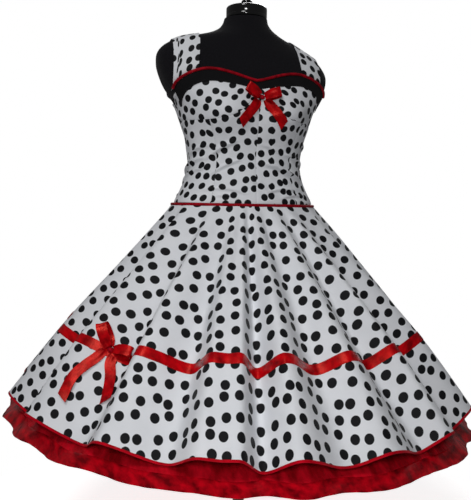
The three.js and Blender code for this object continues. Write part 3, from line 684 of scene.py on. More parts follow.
def creases(table, x, y):
    """Height of soft ridges at places x, y in millimetres; each has a shallow trough on one side."""
    total = np.zeros(np.broadcast(x, y).shape)
    for x0, y0, x1, y1, width, height in table:
        length = math.hypot(x1 - x0, y1 - y0)
        ux, uy = (x1 - x0) / length, (y1 - y0) / length
        t = np.clip(((x - x0) * ux + (y - y0) * uy) / length, -0.5, 1.5)
        arch = np.sin(np.pi * np.clip(t, 0, 1))
        off = (y - y0) * ux - (x - x0) * uy - CREASE_BOW * length * arch
        inside = np.clip(arch, 0, 1) ** 0.7
        trough = np.exp(-((off + TROUGH_SHIFT * width) / width) ** 2)
        total += height * inside * (np.exp(-(off / width) ** 2) - TROUGH_DEPTH * trough)
    return total


CREASES_MM = [[a0 * WAIST_ARC, h0, a1 * WAIST_ARC, h1, w, r] for a0, h0, a1, h1, w, r in BODICE_CREASES]


def bodice_slack(angle, height):
    """Creases, and the cloth's slow unevenness, in millimetres."""
    x = np.asarray(angle) * WAIST_ARC
    slow = sum(rise * np.sin(x / across + height / up + start) for across, up, rise, start in SLOW_WAVES)
    return np.maximum(creases(CREASES_MM, x, height), DEEPEST) + slow


# %% [markdown]
# ## The bodice
# Each side has a cup, a middle panel, a side panel and a back panel. A sewn seam pulls the cloth down, so
# a panel's edges dip over the last few millimetres, and the seams show as narrow grooves. The pieces are
# 0.3 mm apart, as their solids are.

# %% Bodice pieces
SEAM_DIP = 0.9
SEAM_HALF_WIDTH = 2.2


def neckline(angle):
    return curve(NECKLINE, np.abs(angle))


def under_bust(angle):
    return curve(UNDER_BUST, np.abs(angle))


def band_bottom(angle):
    return neckline(angle) - curve(BAND_DEPTH, np.abs(angle))


def seam_groove(distance):
    return -SEAM_DIP * np.exp(-(distance / SEAM_HALF_WIDTH) ** 2)


def bodice_grid(way, start, end, low, high, columns, rows, out, slack=1.0, groove=1.0):
    """Points of a panel from one angle to another, between a lower and an upper line."""
    angle = girth_columns(start, end, columns)[:, None]
    level = np.linspace(0, 1, rows + 1)[None, :]
    height = low(angle) + (high(angle) - low(angle)) * level
    radius = body_radius(angle, height)
    half_gap = math.degrees(GAP / 2 / GIRTH_MEAN)
    angle = np.clip(angle, start + half_gap, end - half_gap) + 0 * height
    side = np.minimum(angle - start, end - angle) * np.radians(1) * radius
    ends = np.minimum(height - low(angle), high(angle) - height)
    rise = slack * bodice_slack(way * angle, height) + groove * (seam_groove(side) + seam_groove(ends))
    return on_body(way * angle, height, out + rise)


def moved_line(line, shift):
    """The same line of the bodice, higher or lower."""
    return lambda angle: line(angle) + shift


def bodice_bottom(angle):
    return BODICE_BOTTOM + 0 * angle


# name, node, start, end, lower line, upper line, columns, rows, cloth's turn
PANELS = [
    ["cup", 0, SIDE_SEAM, moved_line(under_bust, GAP / 2), neckline, 74, 44, 28],
    ["midriff_center", 0, PRINCESS_SEAM, bodice_bottom, moved_line(under_bust, -GAP / 2), 48, 84, -14],
    ["midriff_side", PRINCESS_SEAM, SIDE_SEAM, bodice_bottom, moved_line(under_bust, -GAP / 2), 34, 84, 11],
    ["bodice_back", SIDE_SEAM, 180, bodice_bottom, neckline, 76, 96, -23],
]
CLOTH_WALL = 0.8
for side, way in (("right", -1), ("left", 1)):
    for number, (name, start, end, low, high, columns, rows, grain) in enumerate(PANELS):
        sizes = (way, start, end, low, high, columns, rows)
        outer = bodice_grid(*sizes, CLOTH)
        inner = bodice_grid(*sizes, CLOTH - CLOTH_WALL)
        flat = flat_places(outer, grain * way, (0.37 * number + 0.11 * way, 0.53 * number), True)
        piece = shell(f"cloth_{name}_{side}", outer, inner, flat, COTTON)
        settle(piece, f"{name}_{side}")

# %% [markdown]
# ## Neckline band and piping
# A band of black cotton lies on the top of the cups, and a dark red piping edges it. The band's edges
# are turned under, so it is a little thicker there.

# %% Band
BAND_FACE = CLOTH + 1.7
ROLL_WIDTH = 0.09  # of a turned edge, as a share of the width


def edge_roll(level, height=0.5):
    """Turned edges at the two ends of a grid's rows."""
    return height * (np.exp(-(level / ROLL_WIDTH) ** 2) + np.exp(-((1 - level) / ROLL_WIDTH) ** 2))


for side, way in (("right", -1), ("left", 1)):
    sizes = (way, 0, BAND_END, band_bottom, moved_line(neckline, -GAP), 90, 16)
    roll = edge_roll(np.linspace(0, 1, 17))[None, :]
    outer = bodice_grid(*sizes, BAND_FACE + roll, slack=0.0, groove=0.3)
    inner = bodice_grid(*sizes, CLOTH + GAP, slack=0.0, groove=0.0)
    flat = flat_places(outer, 12 * way, (0.2 * way, 0.1))
    piece = shell(f"cloth_neckline_band_{side}", outer, inner, flat, BLACK_COTTON)
    settle(piece, f"neckline_band_{side}")

# %% [markdown]
# ## Piping
# A piping is a cord in a bias strip of satin, sewn into the neckline and the hip seam. A curve with a
# round bevel makes it, and it becomes a plain mesh. At the hip it sinks a little into the form's ease.

# %% Piping
def made_plain(name, holder):
    """The finished shape of a curve or a modifier as a plain mesh; its holder goes away."""
    mesh = bpy.data.meshes.new_from_object(holder.evaluated_get(bpy.context.evaluated_depsgraph_get()))
    bpy.data.objects.remove(holder)
    mesh.name = name
    return mesh


def swept(name, points, radius, material, closed=False):
    """A round cord along points in millimetres, turned into a mesh with a UV map in metres."""
    path = bpy.data.curves.new(name + " path", "CURVE")
    path.dimensions = "3D"
    spline = path.splines.new("POLY")
    spline.points.add(len(points) - 1)
    for station, point in zip(spline.points, points):
        station.co = (*(point * MM), 1)
    spline.use_cyclic_u = closed
    path.bevel_depth = radius * MM
    path.bevel_resolution = 3
    path.use_fill_caps = not closed
    mesh = made_plain(name, add_object(name + " path", path))
    corners = np.empty(len(mesh.loops), int)
    mesh.loops.foreach_get("vertex_index", corners)
    places = np.empty(len(mesh.vertices) * 3)
    mesh.vertices.foreach_get("co", places)
    places = places.reshape(-1, 3)[corners]
    around = np.arctan2(places[:, 0], -places[:, 1]) * GIRTH_MEAN * MM
    return finish_piece(name, mesh, np.stack([around, places[:, 2]], axis=1), material)


neck_radius = PIPING_RADIUS - PIPING_SINK
angle = girth_columns(-BAND_END, BAND_END, 150)
point = body_point(angle, neckline(angle) + neck_radius + GAP)
points = point + body_normal(point) * neck_radius + LIFT
settle(swept("cord_neckline_piping", points, neck_radius, PIPING_AND_KNOT_SHADE), "neckline_piping")


def hip_path(angle):
    point = body_point(angle, 0.0)
    out = unit(body_normal(point) * LEVEL)
    return point + out * (PIPING_RADIUS - PIPING_SINK) + LIFT


front = girth_columns(0.1 - SIDE_SEAM, SIDE_SEAM - 0.1, 120)
for side, angle in (("front", front), ("back", 180 - front)):
    piping = swept(f"cord_hip_piping_{side}", hip_path(angle), PIPING_RADIUS, PIPING_AND_KNOT_SHADE)
    settle(piping, f"hip_piping_{side}")

# %% [markdown]
# ## Straps
# Each strap lies over the shoulder like a sash. Its lines run round a point inside the shoulder, and each
# point is found by going outwards until it meets the body. The ends go down behind the bodice, where
# they are sewn in, so they dip under its upper edge.

# %% Straps
STRAP_EASE = 1.6  # body to the strap's inner face
SHOULDER_MIDDLE = np.array([0.0, 8.0, 300.0])
TUCK = 6  # strap's end below the bodice's upper edge
TUCK_START = 16  # height above that edge where the strap begins to sink
HALVINGS = 26  # steps of a search that halves its range each time
# radians along the strap, radians across it, height
STRAP_WAVES = [[17, 2.1, 0.5], [31, -4, 0.35]]


def over_shoulder(width, turn):
    """The body's point at a width from the middle and a turn over the shoulder, found by halving."""
    turn = np.radians(turn)
    way = np.stack([0 * turn, -np.cos(turn), np.sin(turn)], axis=-1)
    start = SHOULDER_MIDDLE + np.array([1, 0, 0]) * (width + STRAP_SHIFT)[..., None]
    near, far = np.full(turn.shape, 5.0), np.full(turn.shape, 190.0)
    for _ in range(HALVINGS):
        middle = (near + far) / 2
        inside = outside(start + way * middle[..., None]) < 0
        near, far = np.where(inside, middle, near), np.where(inside, far, middle)
    return start + way * near[..., None]


def strap_width(across, turn):
    return curve(STRAP, turn, 1) + (curve(STRAP, turn, 2) - curve(STRAP, turn, 1)) * across


def above_neckline(point):
    angle = np.degrees(np.arctan2(np.abs(point[..., 0]), -point[..., 1]))
    return point[..., 2] - neckline(angle)


def strap_end(across, way, back):
    """Turn at which the strap is tucked in, in front or at the back."""
    low, high = (np.full(across.shape, turn) for turn in ((210.0, 95.0) if back else (-30.0, 85.0)))
    for _ in range(HALVINGS):
        middle = (low + high) / 2
        under = above_neckline(over_shoulder(way * strap_width(across, middle), middle)) < -TUCK
        low, high = np.where(under, middle, low), np.where(under, high, middle)
    return high


for side, way in (("right", -1), ("left", 1)):
    across = np.linspace(0, 1, 19)
    first, last = strap_end(across, way, False), strap_end(across, way, True)
    along = np.linspace(0, 1, 121)[None, :]
    turn = first[:, None] + (last - first)[:, None] * along
    point = over_shoulder(way * strap_width(across[:, None] + 0 * turn, turn), turn)
    normal = body_normal(point)
    tuck = np.clip((TUCK_START - above_neckline(point)) / (TUCK_START - 5), 0, 1)
    tuck = tuck * tuck * (3 - 2 * tuck)
    roll = edge_roll(across, 0.35)[:, None]
    slack = sum(rise * np.sin(along * run + across[:, None] * lean) for run, lean, rise in STRAP_WAVES)
    face = (STRAP_EASE + CLOTH + slack + roll) * (1 - tuck) + 0.2 * tuck
    back_face = (STRAP_EASE + 0.4) * (1 - tuck) - 0.7 * tuck
    outer, inner = (point + normal * out[..., None] + LIFT for out in (face, back_face))
    flat = flat_places(outer, 7 * way, (1.3, 0.4 * way))
    piece = shell(f"cloth_strap_{side}", outer, inner, flat, COTTON)
    settle(piece, f"strap_{side}")

# %% [markdown]
# ## The skirt
# The skirt is cut as part of a wide ring and stands out as a cone. What the ring has to spare at the hem
# falls into deep folds: a table gives each fold's ridge and valley, and they grow from nothing at the hip
# seam. On the flat cloth a skirt's point has a distance from the ring's middle and a turn round it, and
# the map keeps both, so the dots are as large at the hip as at the hem.

# %% Skirt surface
FOLD_PEAKS = [peak for ridge, up, valley, down in FOLDS for peak in ((ridge, up), (valley, -down))]
# angle, share of the slant where it starts and ends, half width in degrees, ridge height
SKIRT_CREASES = [
    [-66, 0.0, 0.34, 3.2, 3.0],
    [-49, 0.0, 0.42, 2.8, -2.6],
    [-33, 0.0, 0.36, 2.6, 2.8],
    [-20, 0.0, 0.5, 2.4, -3.0],
    [-8, 0.0, 0.38, 2.6, 2.6],
    [3, 0.02, 0.4, 2.4, -2.4],
    [19, 0.0, 0.36, 2.6, 2.8],
    [31, 0.0, 0.46, 2.6, -3.0],
    [48, 0.0, 0.34, 3.0, 2.6],
    [66, 0.0, 0.4, 3.0, -2.4],
    [84, 0.0, 0.36, 3.2, 2.8],
    [104, 0.0, 0.44, 3.2, -2.8],
    [124, 0.0, 0.34, 3.0, 2.6],
    [146, 0.0, 0.42, 3.0, -2.6],
    [168, 0.0, 0.36, 3.0, 2.8],
    [-84, 0.0, 0.4, 3.2, -2.6],
    [-103, 0.0, 0.36, 3.2, 2.8],
    [-124, 0.0, 0.44, 3.0, -2.8],
    [-146, 0.0, 0.34, 3.0, 2.6],
    [-168, 0.0, 0.4, 3.0, -2.4],
    [-58, 0.62, 1.05, 2.6, 4.0],
    [-42, 0.5, 1.05, 2.2, -3.6],
    [-9, 0.66, 1.05, 2.0, 3.2],
    [10, 0.55, 1.05, 2.6, -3.4],
    [22, 0.6, 1.05, 2.4, 3.6],
    [40, 0.5, 1.05, 2.4, -3.2],
    [76, 0.55, 1.05, 3.0, 3.4],
    [112, 0.6, 1.05, 3.0, -3.2],
    [136, 0.5, 1.05, 3.0, 3.4],
    [-80, 0.55, 1.05, 2.6, 3.2],
    [-118, 0.6, 1.05, 3.0, -3.4],
    [-154, 0.5, 1.05, 3.0, 3.2],
]


def fold_at(angle):
    """Fold height at the hem, eased from each peak to the next."""
    places = np.array([peak[0] for peak in FOLD_PEAKS] + [FOLD_PEAKS[0][0] + 360], float)
    heights = np.array([peak[1] for peak in FOLD_PEAKS] + [FOLD_PEAKS[0][1]], float)
    place = places[0] + (angle - places[0]) % 360
    i = np.clip(np.searchsorted(places, place, side="right") - 1, 0, len(places) - 2)
    t = (place - places[i]) / (places[i + 1] - places[i])
    return heights[i] + (heights[i + 1] - heights[i]) * (1 - np.cos(np.pi * t)) / 2


def seam_radius(angle):
    return body_radius((angle + 180) % 360 - 180, 0.0) + SEAM_OFFSET


def cone_radius(angle, drop):
    return seam_radius(angle) + (HEM_RADIUS - seam_radius(angle)) * drop / SKIRT_DROP


def hang(points):
    """The skirt and petticoat hang lower to one side and in front, more so further down."""
    share = (SEAM_HEIGHT - points[..., 2]) / SKIRT_DROP
    tilt, dip = math.tan(math.radians(HEM_TILT)), math.tan(math.radians(HEM_DIP))
    points[..., 2] -= (points[..., 0] * tilt - points[..., 1] * dip) * share
    return points


def skirt_slack(angle, share):
    """Small creases between the folds, in millimetres."""
    total = 0.0 * angle * share
    for middle, top, bottom, width, height in SKIRT_CREASES:
        off = (angle - middle + 180) % 360 - 180
        t = np.clip((share - top) / (bottom - top), 0, 1)
        total = total + height * np.exp(-(off / width) ** 2) * np.sin(np.pi * t) ** 1.2
    return total + 0.5 * np.sin(np.radians(angle) * 23 + share * 5) * share


def skirt_point(angle, share, out, slack=True):
    """A point of the skirt at a share of its slant, moved out from its inner face."""
    angle, share = np.broadcast_arrays(np.asarray(angle, float), np.asarray(share, float))
    turn = np.radians(angle)
    slope = HEM_RADIUS - seam_radius(angle)
    slant = np.hypot(slope, SKIRT_DROP)
    lift = out + fold_at(angle) * curve(FOLD_SHARE, share)
    if slack:
        lift = lift + skirt_slack(angle, share)
    radius = cone_radius(angle, share * SKIRT_DROP) + lift * SKIRT_DROP / slant
    height = SEAM_HEIGHT - share * SKIRT_DROP + lift * slope / slant
    return hang(np.stack([radius * np.sin(turn), -radius * np.cos(turn), height], axis=-1))


def ring_places(grid, turn, shift):
    """Flat places of a flared piece: a turn round the ring's middle and a distance from it."""
    steps = np.linalg.norm(np.diff(grid, axis=0), axis=2)
    top, bottom = steps[:, 0].sum(), steps[:, -1].sum()
    down = np.linalg.norm(np.diff(grid, axis=1), axis=2).mean(axis=0)
    distance = np.concatenate([[0], np.cumsum(down)])
    spread = (bottom - top) / distance[-1]
    inner = top / spread
    share = np.concatenate([[0], np.cumsum(steps[:, -1])]) / bottom - 0.5
    phi = (share * spread)[:, None]
    radius = (inner + distance)[None, :]
    flat = np.stack([radius * np.sin(phi), -radius * np.cos(phi)], axis=2) * MM
    return turned(flat, turn, shift)


# %% [markdown]
# ### The skirt's two halves
# Front and back meet at the side seams, a hair apart. Each half has its own turn on the dotted cloth, so
# the print doesn't run on over a seam.

# %% Skirt
SEAM_MEAN = 184  # radius of the skirt at its side seams, where they meet the hip seam


def half_angles(middle, columns):
    """Angles of a half of the skirt, just short of the side seams."""
    edge = math.degrees(GAP / 2 / SEAM_MEAN)
    return np.linspace(middle - 90 + edge, middle + 90 - edge, columns + 1)[:, None]


rows = np.concatenate([np.linspace(SKIRT_TOP / SKIRT_DROP, 0.98, 92), [0.99, 1.0]])[None, :]
for side, middle, grain, shift in (("front", 0, 9, (3.1, 2.2)), ("back", 180, -16, (6.3, 4.4))):
    angle = half_angles(middle, 400)
    outer = skirt_point(angle, rows, CLOTH)
    inner = skirt_point(angle, rows, CLOTH - CLOTH_WALL)
    flat = ring_places(outer, grain, shift)
    piece = shell(f"cloth_skirt_{side}", outer, inner, flat, SKIRT_COTTON)
    settle(piece, f"skirt_{side}")

# %% [markdown]
# ## Ribbon and hem binding
# A red satin ribbon is sewn round the skirt and follows its folds, and a narrower one is folded over the
# hem. Both take their points from the skirt's own surface, moved out, so they can't float or cut in.
# A ribbon sewn along both edges puckers a little between its stitches.

# %% Ribbon and binding
SLANT = math.hypot(HEM_RADIUS - (seam_radius(0.0) + seam_radius(90.0)) / 2, SKIRT_DROP)
ROUND = np.linspace(-180, 180, 1001)[:-1][:, None]
PUCKERS = 420  # between stitches, all round


def band_round(name, start, end, columns, bulge, base, pucker, wall, material):
    """A band that follows the skirt all round, from one share of the slant to another."""
    level = np.linspace(0, 1, columns)[None, :]
    share = start + (end - start) * level
    arch = np.sin(np.pi * level)
    rise = bulge * arch + pucker * np.sin(np.radians(ROUND) * PUCKERS) * arch ** 0.5
    outer = skirt_point(ROUND, share, base + wall + rise)
    inner = skirt_point(ROUND, share, base)
    flat = ring_flat(outer)
    return shell(name, outer, inner, flat, material, ring=True), flat


half_ribbon = RIBBON_WIDTH / 2 / SLANT
ribbon, flat = band_round("satin_skirt_ribbon", RIBBON_MIDDLE - half_ribbon, RIBBON_MIDDLE + half_ribbon, 9,
                          0.25, CLOTH + 0.25, 0.12, 0.6, RED_SATIN)
settle(ribbon, "skirt_ribbon")
binding, flat = band_round("satin_hem_binding", 1 + GAP / SLANT, 1 + BINDING_WIDTH / SLANT, 7,
                           0.5, 0.2, 0.1, CLOTH, BINDING)
settle(binding, "hem_binding")

# %% [markdown]
# ## The petticoat
# Under the skirt hangs a yoke of organza, and on it a gathered flounce with a satin edge. The flounce
# holds the hem out. Its waves are uneven: their height changes slowly round the hem, and smaller ripples
# lie on them. Only its lowest hand's breadth shows under the skirt.

# %% Petticoat surface
NET_WALL = 0.6
# count round the hem, share, start: how much the waves' height changes, and how far they run ahead
WAVE_UNEVENNESS = [[3, 0.25, 0.4], [7, 0.3, 2.1], [11, 0.2, 4.0]]
WAVE_DRIFT = [[3, 0.7, 2.0], [5, 1.1, 0.7]]
# count round the hem, drop for a turn of one radian, height, start
RIPPLES = [[61, 14, 0.6, 0], [103, -9, 0.35, 1.7]]
FLARE_ANGLE, FLARE_WIDTH, FLARE_OUT, FLARE_UP = -85, 32, 4, 6  # where the flounce stands out more


def swings(table, turn):
    """The sum of slow swings round the hem."""
    return sum(share * np.sin(count * turn + start) for count, share, start in table)


def petticoat_point(angle, drop, out):
    """A point of the petticoat at a drop below the hip seam, moved out from its middle."""
    angle, drop = np.broadcast_arrays(np.asarray(angle, float), np.asarray(drop, float))
    turn = np.radians(angle)

    def within(level):
        return cone_radius(angle, level) - curve(PETTICOAT_INSET, level)

    out_of_hem = np.clip((drop - FLOUNCE_BEND) / (FLOUNCE_BOTTOM - FLOUNCE_BEND), 0, None)
    bend = within(np.minimum(drop, FLOUNCE_BEND))
    radius = bend + (FLOUNCE_RADIUS - bend) * out_of_hem
    opened = np.clip((drop - FLOUNCE_TOP) / (FLOUNCE_BOTTOM - FLOUNCE_TOP), 0, None)
    phase = FLOUNCE_WAVES * turn + swings(WAVE_DRIFT, turn)
    grown = (1 + swings(WAVE_UNEVENNESS, turn)) * opened ** WAVE_GROWTH
    ripple = sum(rise * np.sin(count * turn + drop / fall + start) for count, fall, rise, start in RIPPLES)
    off = (angle - FLARE_ANGLE + 180) % 360 - 180
    flared = np.exp(-(off / FLARE_WIDTH) ** 2) * opened ** 3
    radius = radius + WAVE_HEIGHT * grown * np.cos(phase) + FLARE_OUT * flared + opened * ripple + out
    height = SEAM_HEIGHT - drop + WAVE_LIFT * grown * np.sin(phase) + FLARE_UP * flared
    points = np.stack([radius * np.sin(turn), -radius * np.cos(turn), height], axis=-1)
    return hang(points)


# %% [markdown]
# ### Yoke and flounce
# Both are one layer of organza in two halves. The flounce is gathered, so it needs more columns for its
# ripples than the yoke, and its rows lie closer where it bends out under the hem.

# %% Yoke and flounce
NET_FACE = 0.9
YOKE_ROWS = np.linspace(6, FLOUNCE_TOP - GAP, 40)
FLOUNCE_ROWS = np.append(np.linspace(FLOUNCE_TOP, FLOUNCE_BEND - 6, 34),
                         np.linspace(FLOUNCE_BEND, SATIN_TOP - GAP, 8))


def net_half(name, middle, columns, rows, shift):
    """The front or back half of a petticoat piece."""
    angle = half_angles(middle, columns)
    outer, inner = (petticoat_point(angle, rows[None, :], out) for out in (NET_FACE, NET_FACE - NET_WALL))
    flat = ring_places(outer, 0, shift)
    return shell(name, outer, inner, flat, ORGANZA), flat


for side, middle in (("front", 0), ("back", 180)):
    piece, flat = net_half(f"organza_yoke_{side}", middle, 160, YOKE_ROWS, (0.0, 0.0))
    settle(piece, f"petticoat_yoke_{side}")
    piece, flat = net_half(f"organza_flounce_{side}", middle, 480, FLOUNCE_ROWS, (5.0, 3.0))
    settle(piece, f"flounce_{side}")

# %% [markdown]
# ## Satin edge
# A strip of satin is folded over the flounce's lower edge. It keeps the edge open in round waves and
# gives the petticoat its bright line. It laps a little over the organza and bulges between its edges.

# %% Satin edge of the flounce
SATIN_LAP = 1.5
around = np.linspace(-180, 180, 1101)[:-1][:, None]
rows = np.linspace(SATIN_TOP - SATIN_LAP, FLOUNCE_BOTTOM, 9)[None, :]
bulge = 0.35 * np.sin(np.pi * (rows - SATIN_TOP) / (FLOUNCE_BOTTOM - SATIN_TOP))
outer, inner = petticoat_point(around, rows, 1.15 + bulge), petticoat_point(around, rows, 0.1)
flat = ring_flat(outer)
piece = shell("satin_flounce_edge", outer, inner, flat, EDGE_SATIN, ring=True)
settle(piece, "flounce_satin_edge")

# %% [markdown]
# ## Bows
# A bow is one ribbon: two loops, a knot round the middle and two tails cut on the slant. Each strip has a
# middle line and a direction across it, and narrows where the knot gathers it, which throws small folds
# that fade further out. The tails follow the cloth below them, a few millimetres off.

# %% Ribbon strips
KNOT_HALF = 6
KNOT_DEPTH = 0.8  # against its width
KNOT_ENDS = 0.97  # where its barrel is cut off, as a share of a full round
PINCH = 15  # ribbon's width at the knot
PINCH_LENGTH = 13
PLEAT_HEIGHT = 0.8
PLEAT_FADE = 13  # distance over which the knot's folds fade out
TAIL_SLANT = 13  # how much longer one side of a tail is
SLANT_ROWS = 6  # the last rows, which the slant is spread over
RIBBON_CUP = 1.6  # how much a ribbon's section bends
RIBBON_WALL = 0.6
LOOP_ROWS, TAIL_ROWS = 61, 49


def gone(points):
    """Distance along a row of points, from the first to each."""
    return np.concatenate([[0], np.cumsum(np.linalg.norm(np.diff(points, axis=0), axis=1))])


def gathered(distance):
    """Width of a ribbon at a distance from its knot."""
    return PINCH + (RIBBON_WIDTH - PINCH) * np.clip(distance / PINCH_LENGTH, 0, 1) ** 0.7


def strip(name, middles, across, distance, slant):
    """A ribbon along middles, with small folds near its knot."""
    along = unit(np.gradient(middles, axis=0))
    across = unit(across - along * np.sum(across * along, axis=1, keepdims=True))
    up = unit(np.cross(across, along))
    side = np.linspace(-0.5, 0.5, 15)[None, :]
    width = gathered(distance)[:, None]
    fade = np.exp(-distance / PLEAT_FADE)[:, None]
    pleat = PLEAT_HEIGHT * fade * np.cos(side * 4 * np.pi) + 0.25 * np.sin(distance[:, None] / 7 + side * 3)
    cup = -RIBBON_CUP * (1 - fade) * side ** 2
    reach = np.zeros(len(middles))
    reach[-SLANT_ROWS:] = np.linspace(0, 1, SLANT_ROWS + 1)[1:] ** 1.5
    cut = side * slant * reach[:, None]
    across, along, up = (direction[:, None, :] for direction in (across, along, up))
    base = middles[:, None, :] + across * (side * width)[..., None] + along * cut[..., None]
    faces = RIBBON_WALL / 2, -RIBBON_WALL / 2
    outer, inner = (base + up * (pleat + cup + face)[..., None] for face in faces)
    flat = np.stack(np.broadcast_arrays(side * RIBBON_WIDTH * MM, gone(middles)[:, None] * MM), axis=2)
    return shell(name, outer, inner, flat, RED_SATIN), flat


def smooth_route(route, count):
    """Finer rows through the rows of a tail's route."""
    rows = np.array(route, float)
    table = np.column_stack([np.arange(len(rows)), rows])
    at = np.linspace(0, len(rows) - 1, count)
    return np.column_stack([curve(table, at, column) for column in range(1, rows.shape[1] + 1)])


def surface_frame(surface, angle, level, step):
    """A point of a surface, and its directions out, to the viewer's right and up."""
    at = surface(angle, level)
    right = unit(surface(angle + 1, level) - surface(angle - 1, level))
    above = unit(surface(angle, level + step) - at)
    out = unit(np.cross(right, above))
    return at, out, right, unit(np.cross(out, right))


# %% [markdown]
# ### Both bows
# The small bow sits between the cups, and the larger one on the skirt's ribbon, at the wearer's right.
# Both come from the same functions, each with a table of its own sizes.

# %% Both bows
# place and a tail's rows: angle, height or share of the slant, and for a tail its distance off the cloth
BODICE_BOW = {
    "place": (3.5, 260),
    "loops": [(-60, 38, 14, 14.5, 1), (79, 38, 13, 15, 0)],  # way, reach, height, rise, splay
    "tails": [
        [[-1.3, 255.5, 1], [-5, 243, 3], [-10.8, 228, 4], [-17, 212, 4], [-21.5, 199, 5]],
        [[8.3, 256, 0.9], [12, 243, 3], [17, 228, 4], [22, 212, 4], [26.5, 198, 5]],
    ],
}
SKIRT_BOW = {
    "place": (-59.4, 0.674),
    "loops": [(-46, 48, 20, 24, 5), (80, 44, 15, 17, 3)],
    "tails": [
        [[-60.6, 0.681, 1.1], [-61.2, 0.72, 4], [-62.3, 0.766, 6], [-63.1, 0.82, 7], [-62.5, 0.9, 8]],
        [[-58.3, 0.681, 2.2], [-57.7, 0.718, 4], [-56, 0.755, 6], [-54.3, 0.802, 7], [-52.9, 0.848, 8]],
    ],
}


def add_loop(name, at, out, right, up, way, reach, height, rise, splay):
    """A loop goes out from the knot close to the cloth, round its far end, and back above itself."""
    way = math.radians(way)
    ahead = right * math.sin(way) + up * math.cos(way)
    across = unit(np.cross(out, ahead))
    turns = np.linspace(-math.pi, math.pi, LOOP_ROWS)
    along = KNOT_HALF + GAP + reach * (0.5 + 0.5 * np.cos(turns)) ** 0.8
    lift = height * 0.5 * np.sin(turns) + np.tanh(turns * 4) + rise * along / reach
    aside = splay * np.sin(turns)
    middles = at + ahead * along[:, None] + out * lift[:, None] + across * aside[:, None]
    return strip(name, middles, np.tile(across, (LOOP_ROWS, 1)), along - KNOT_HALF, 0)


def add_tail(name, surface, step, route, slant):
    """A tail hangs from the knot and follows the cloth below it."""
    rows = smooth_route(route, TAIL_ROWS)
    at, out, _, _ = surface_frame(surface, rows[:, 0], rows[:, 1], step)
    middles = at + out * rows[:, 2:3]
    across = unit(np.cross(unit(np.gradient(middles, axis=0)), out))
    return strip(name, middles, across, gone(middles), slant)


def add_knot(name, at, out, right, up):
    """The knot: a short barrel with the folds of the ribbon that wraps it, in a darker red as painted shade.
    """
    turn = np.linspace(0, 2 * np.pi, 33)[:-1][:, None]
    level = np.linspace(-KNOT_ENDS, KNOT_ENDS, 15)[None, :]
    radius = KNOT_HALF * np.sqrt(1 - level ** 2) ** 0.8 * (1 + 0.07 * np.cos(5 * turn + 2 * level))
    spot = radius[..., None] * (right * np.cos(turn)[..., None] + out * np.sin(turn)[..., None] * KNOT_DEPTH)
    outer = at + spot + up * (KNOT_HALF * 0.95 * level)[..., None]
    inner = at + 0.3 * spot + up * (KNOT_HALF * 0.9 * level)[..., None]
    flat = ring_flat(outer)
    # the piping's darker red is painted here as the knot's shade
    return shell(name, outer, inner, flat, PIPING_AND_KNOT_SHADE, ring=True)


def add_bow(name, surface, step, bow):
    at, out, right, up = surface_frame(surface, *bow["place"], step)
    at = at + out * (KNOT_HALF * KNOT_DEPTH + 2 * GAP)
    settle(add_knot(f"satin_{name}_knot", at, out, right, up), f"{name}_knot")
    halves = zip(("right", "left"), bow["loops"], bow["tails"], (-TAIL_SLANT, TAIL_SLANT))
    for side, loop, route, slant in halves:
        piece, flat = add_loop(f"satin_{name}_loop_{side}", at, out, right, up, *loop)
        settle(piece, f"{name}_loop_{side}")
        piece, flat = add_tail(f"satin_{name}_tail_{side}", surface, step, route, slant)
        settle(piece, f"{name}_tail_{side}")


add_bow("bodice_bow", lambda angle, height: on_body(angle, height, CLOTH + 0 * height), 1.0, BODICE_BOW)
add_bow("skirt_bow", lambda angle, share: skirt_point(angle, share, CLOTH + 1.0, False), -0.005, SKIRT_BOW)

# %% [markdown]
# ## Stitches
# The ribbon is sewn on along both edges, and the binding along its upper edge. A stitch is a small smooth
# grain of thread, and thousands of them follow a path. Geometry Nodes suits this: the path is cut into
# even steps, one stitch is set on each step and turned along the path, and all become one mesh.

# %% Stitch tree
def stitch_tree():
    """A path cut into even steps, with a grain of thread on each; sizes are in metres."""
    tree = bpy.data.node_groups.new("stitches along a path", "GeometryNodeTree")
    sockets = {}
    for name, kind, value in (("Path", "Geometry", None), ("Pitch", "Float", 0.003),
                              ("Stitch length", "Float", 0.0022), ("Thread", "Float", 0.0005),
                              ("Material", "Material", None)):
        socket = tree.interface.new_socket(name, in_out="INPUT", socket_type="NodeSocket" + kind)
        if value:
            socket.default_value = value
        sockets[name] = socket.identifier
    tree.interface.new_socket("Stitches", in_out="OUTPUT", socket_type="NodeSocketGeometry")
    given = add_node(tree, "NodeGroupInput").outputs
    line = add_node(tree, "GeometryNodeMeshToCurve", {"Mesh": given["Path"]})
    steps = add_node(tree, "GeometryNodeResampleCurve", {"Curve": line.outputs[0], "Length": given["Pitch"]},
                     mode="LENGTH")
    grain = add_node(tree, "GeometryNodeMeshIcoSphere", {"Radius": 0.5, "Subdivisions": 1})
    thread = given["Thread"]
    size = add_node(tree, "ShaderNodeCombineXYZ", {0: given["Stitch length"], 1: thread, 2: thread})
    stitch = add_node(tree, "GeometryNodeTransform", {"Geometry": grain.outputs[0], "Scale": size.outputs[0]})
    tangent = add_node(tree, "GeometryNodeInputTangent")
    facing = add_node(tree, "FunctionNodeAlignRotationToVector", {"Vector": tangent.outputs[0]}, axis="X")
    links = {"Points": steps.outputs[0], "Instance": stitch.outputs[0], "Rotation": facing.outputs[0]}
    placed = add_node(tree, "GeometryNodeInstanceOnPoints", links)
    whole = add_node(tree, "GeometryNodeRealizeInstances", {"Geometry": placed.outputs[0]})
    links = {"Geometry": whole.outputs[0], "Material": given["Material"]}
    finish = add_node(tree, "GeometryNodeSetMaterial", links)
    add_node(tree, "NodeGroupOutput", {0: finish.outputs[0]})
    return tree, sockets


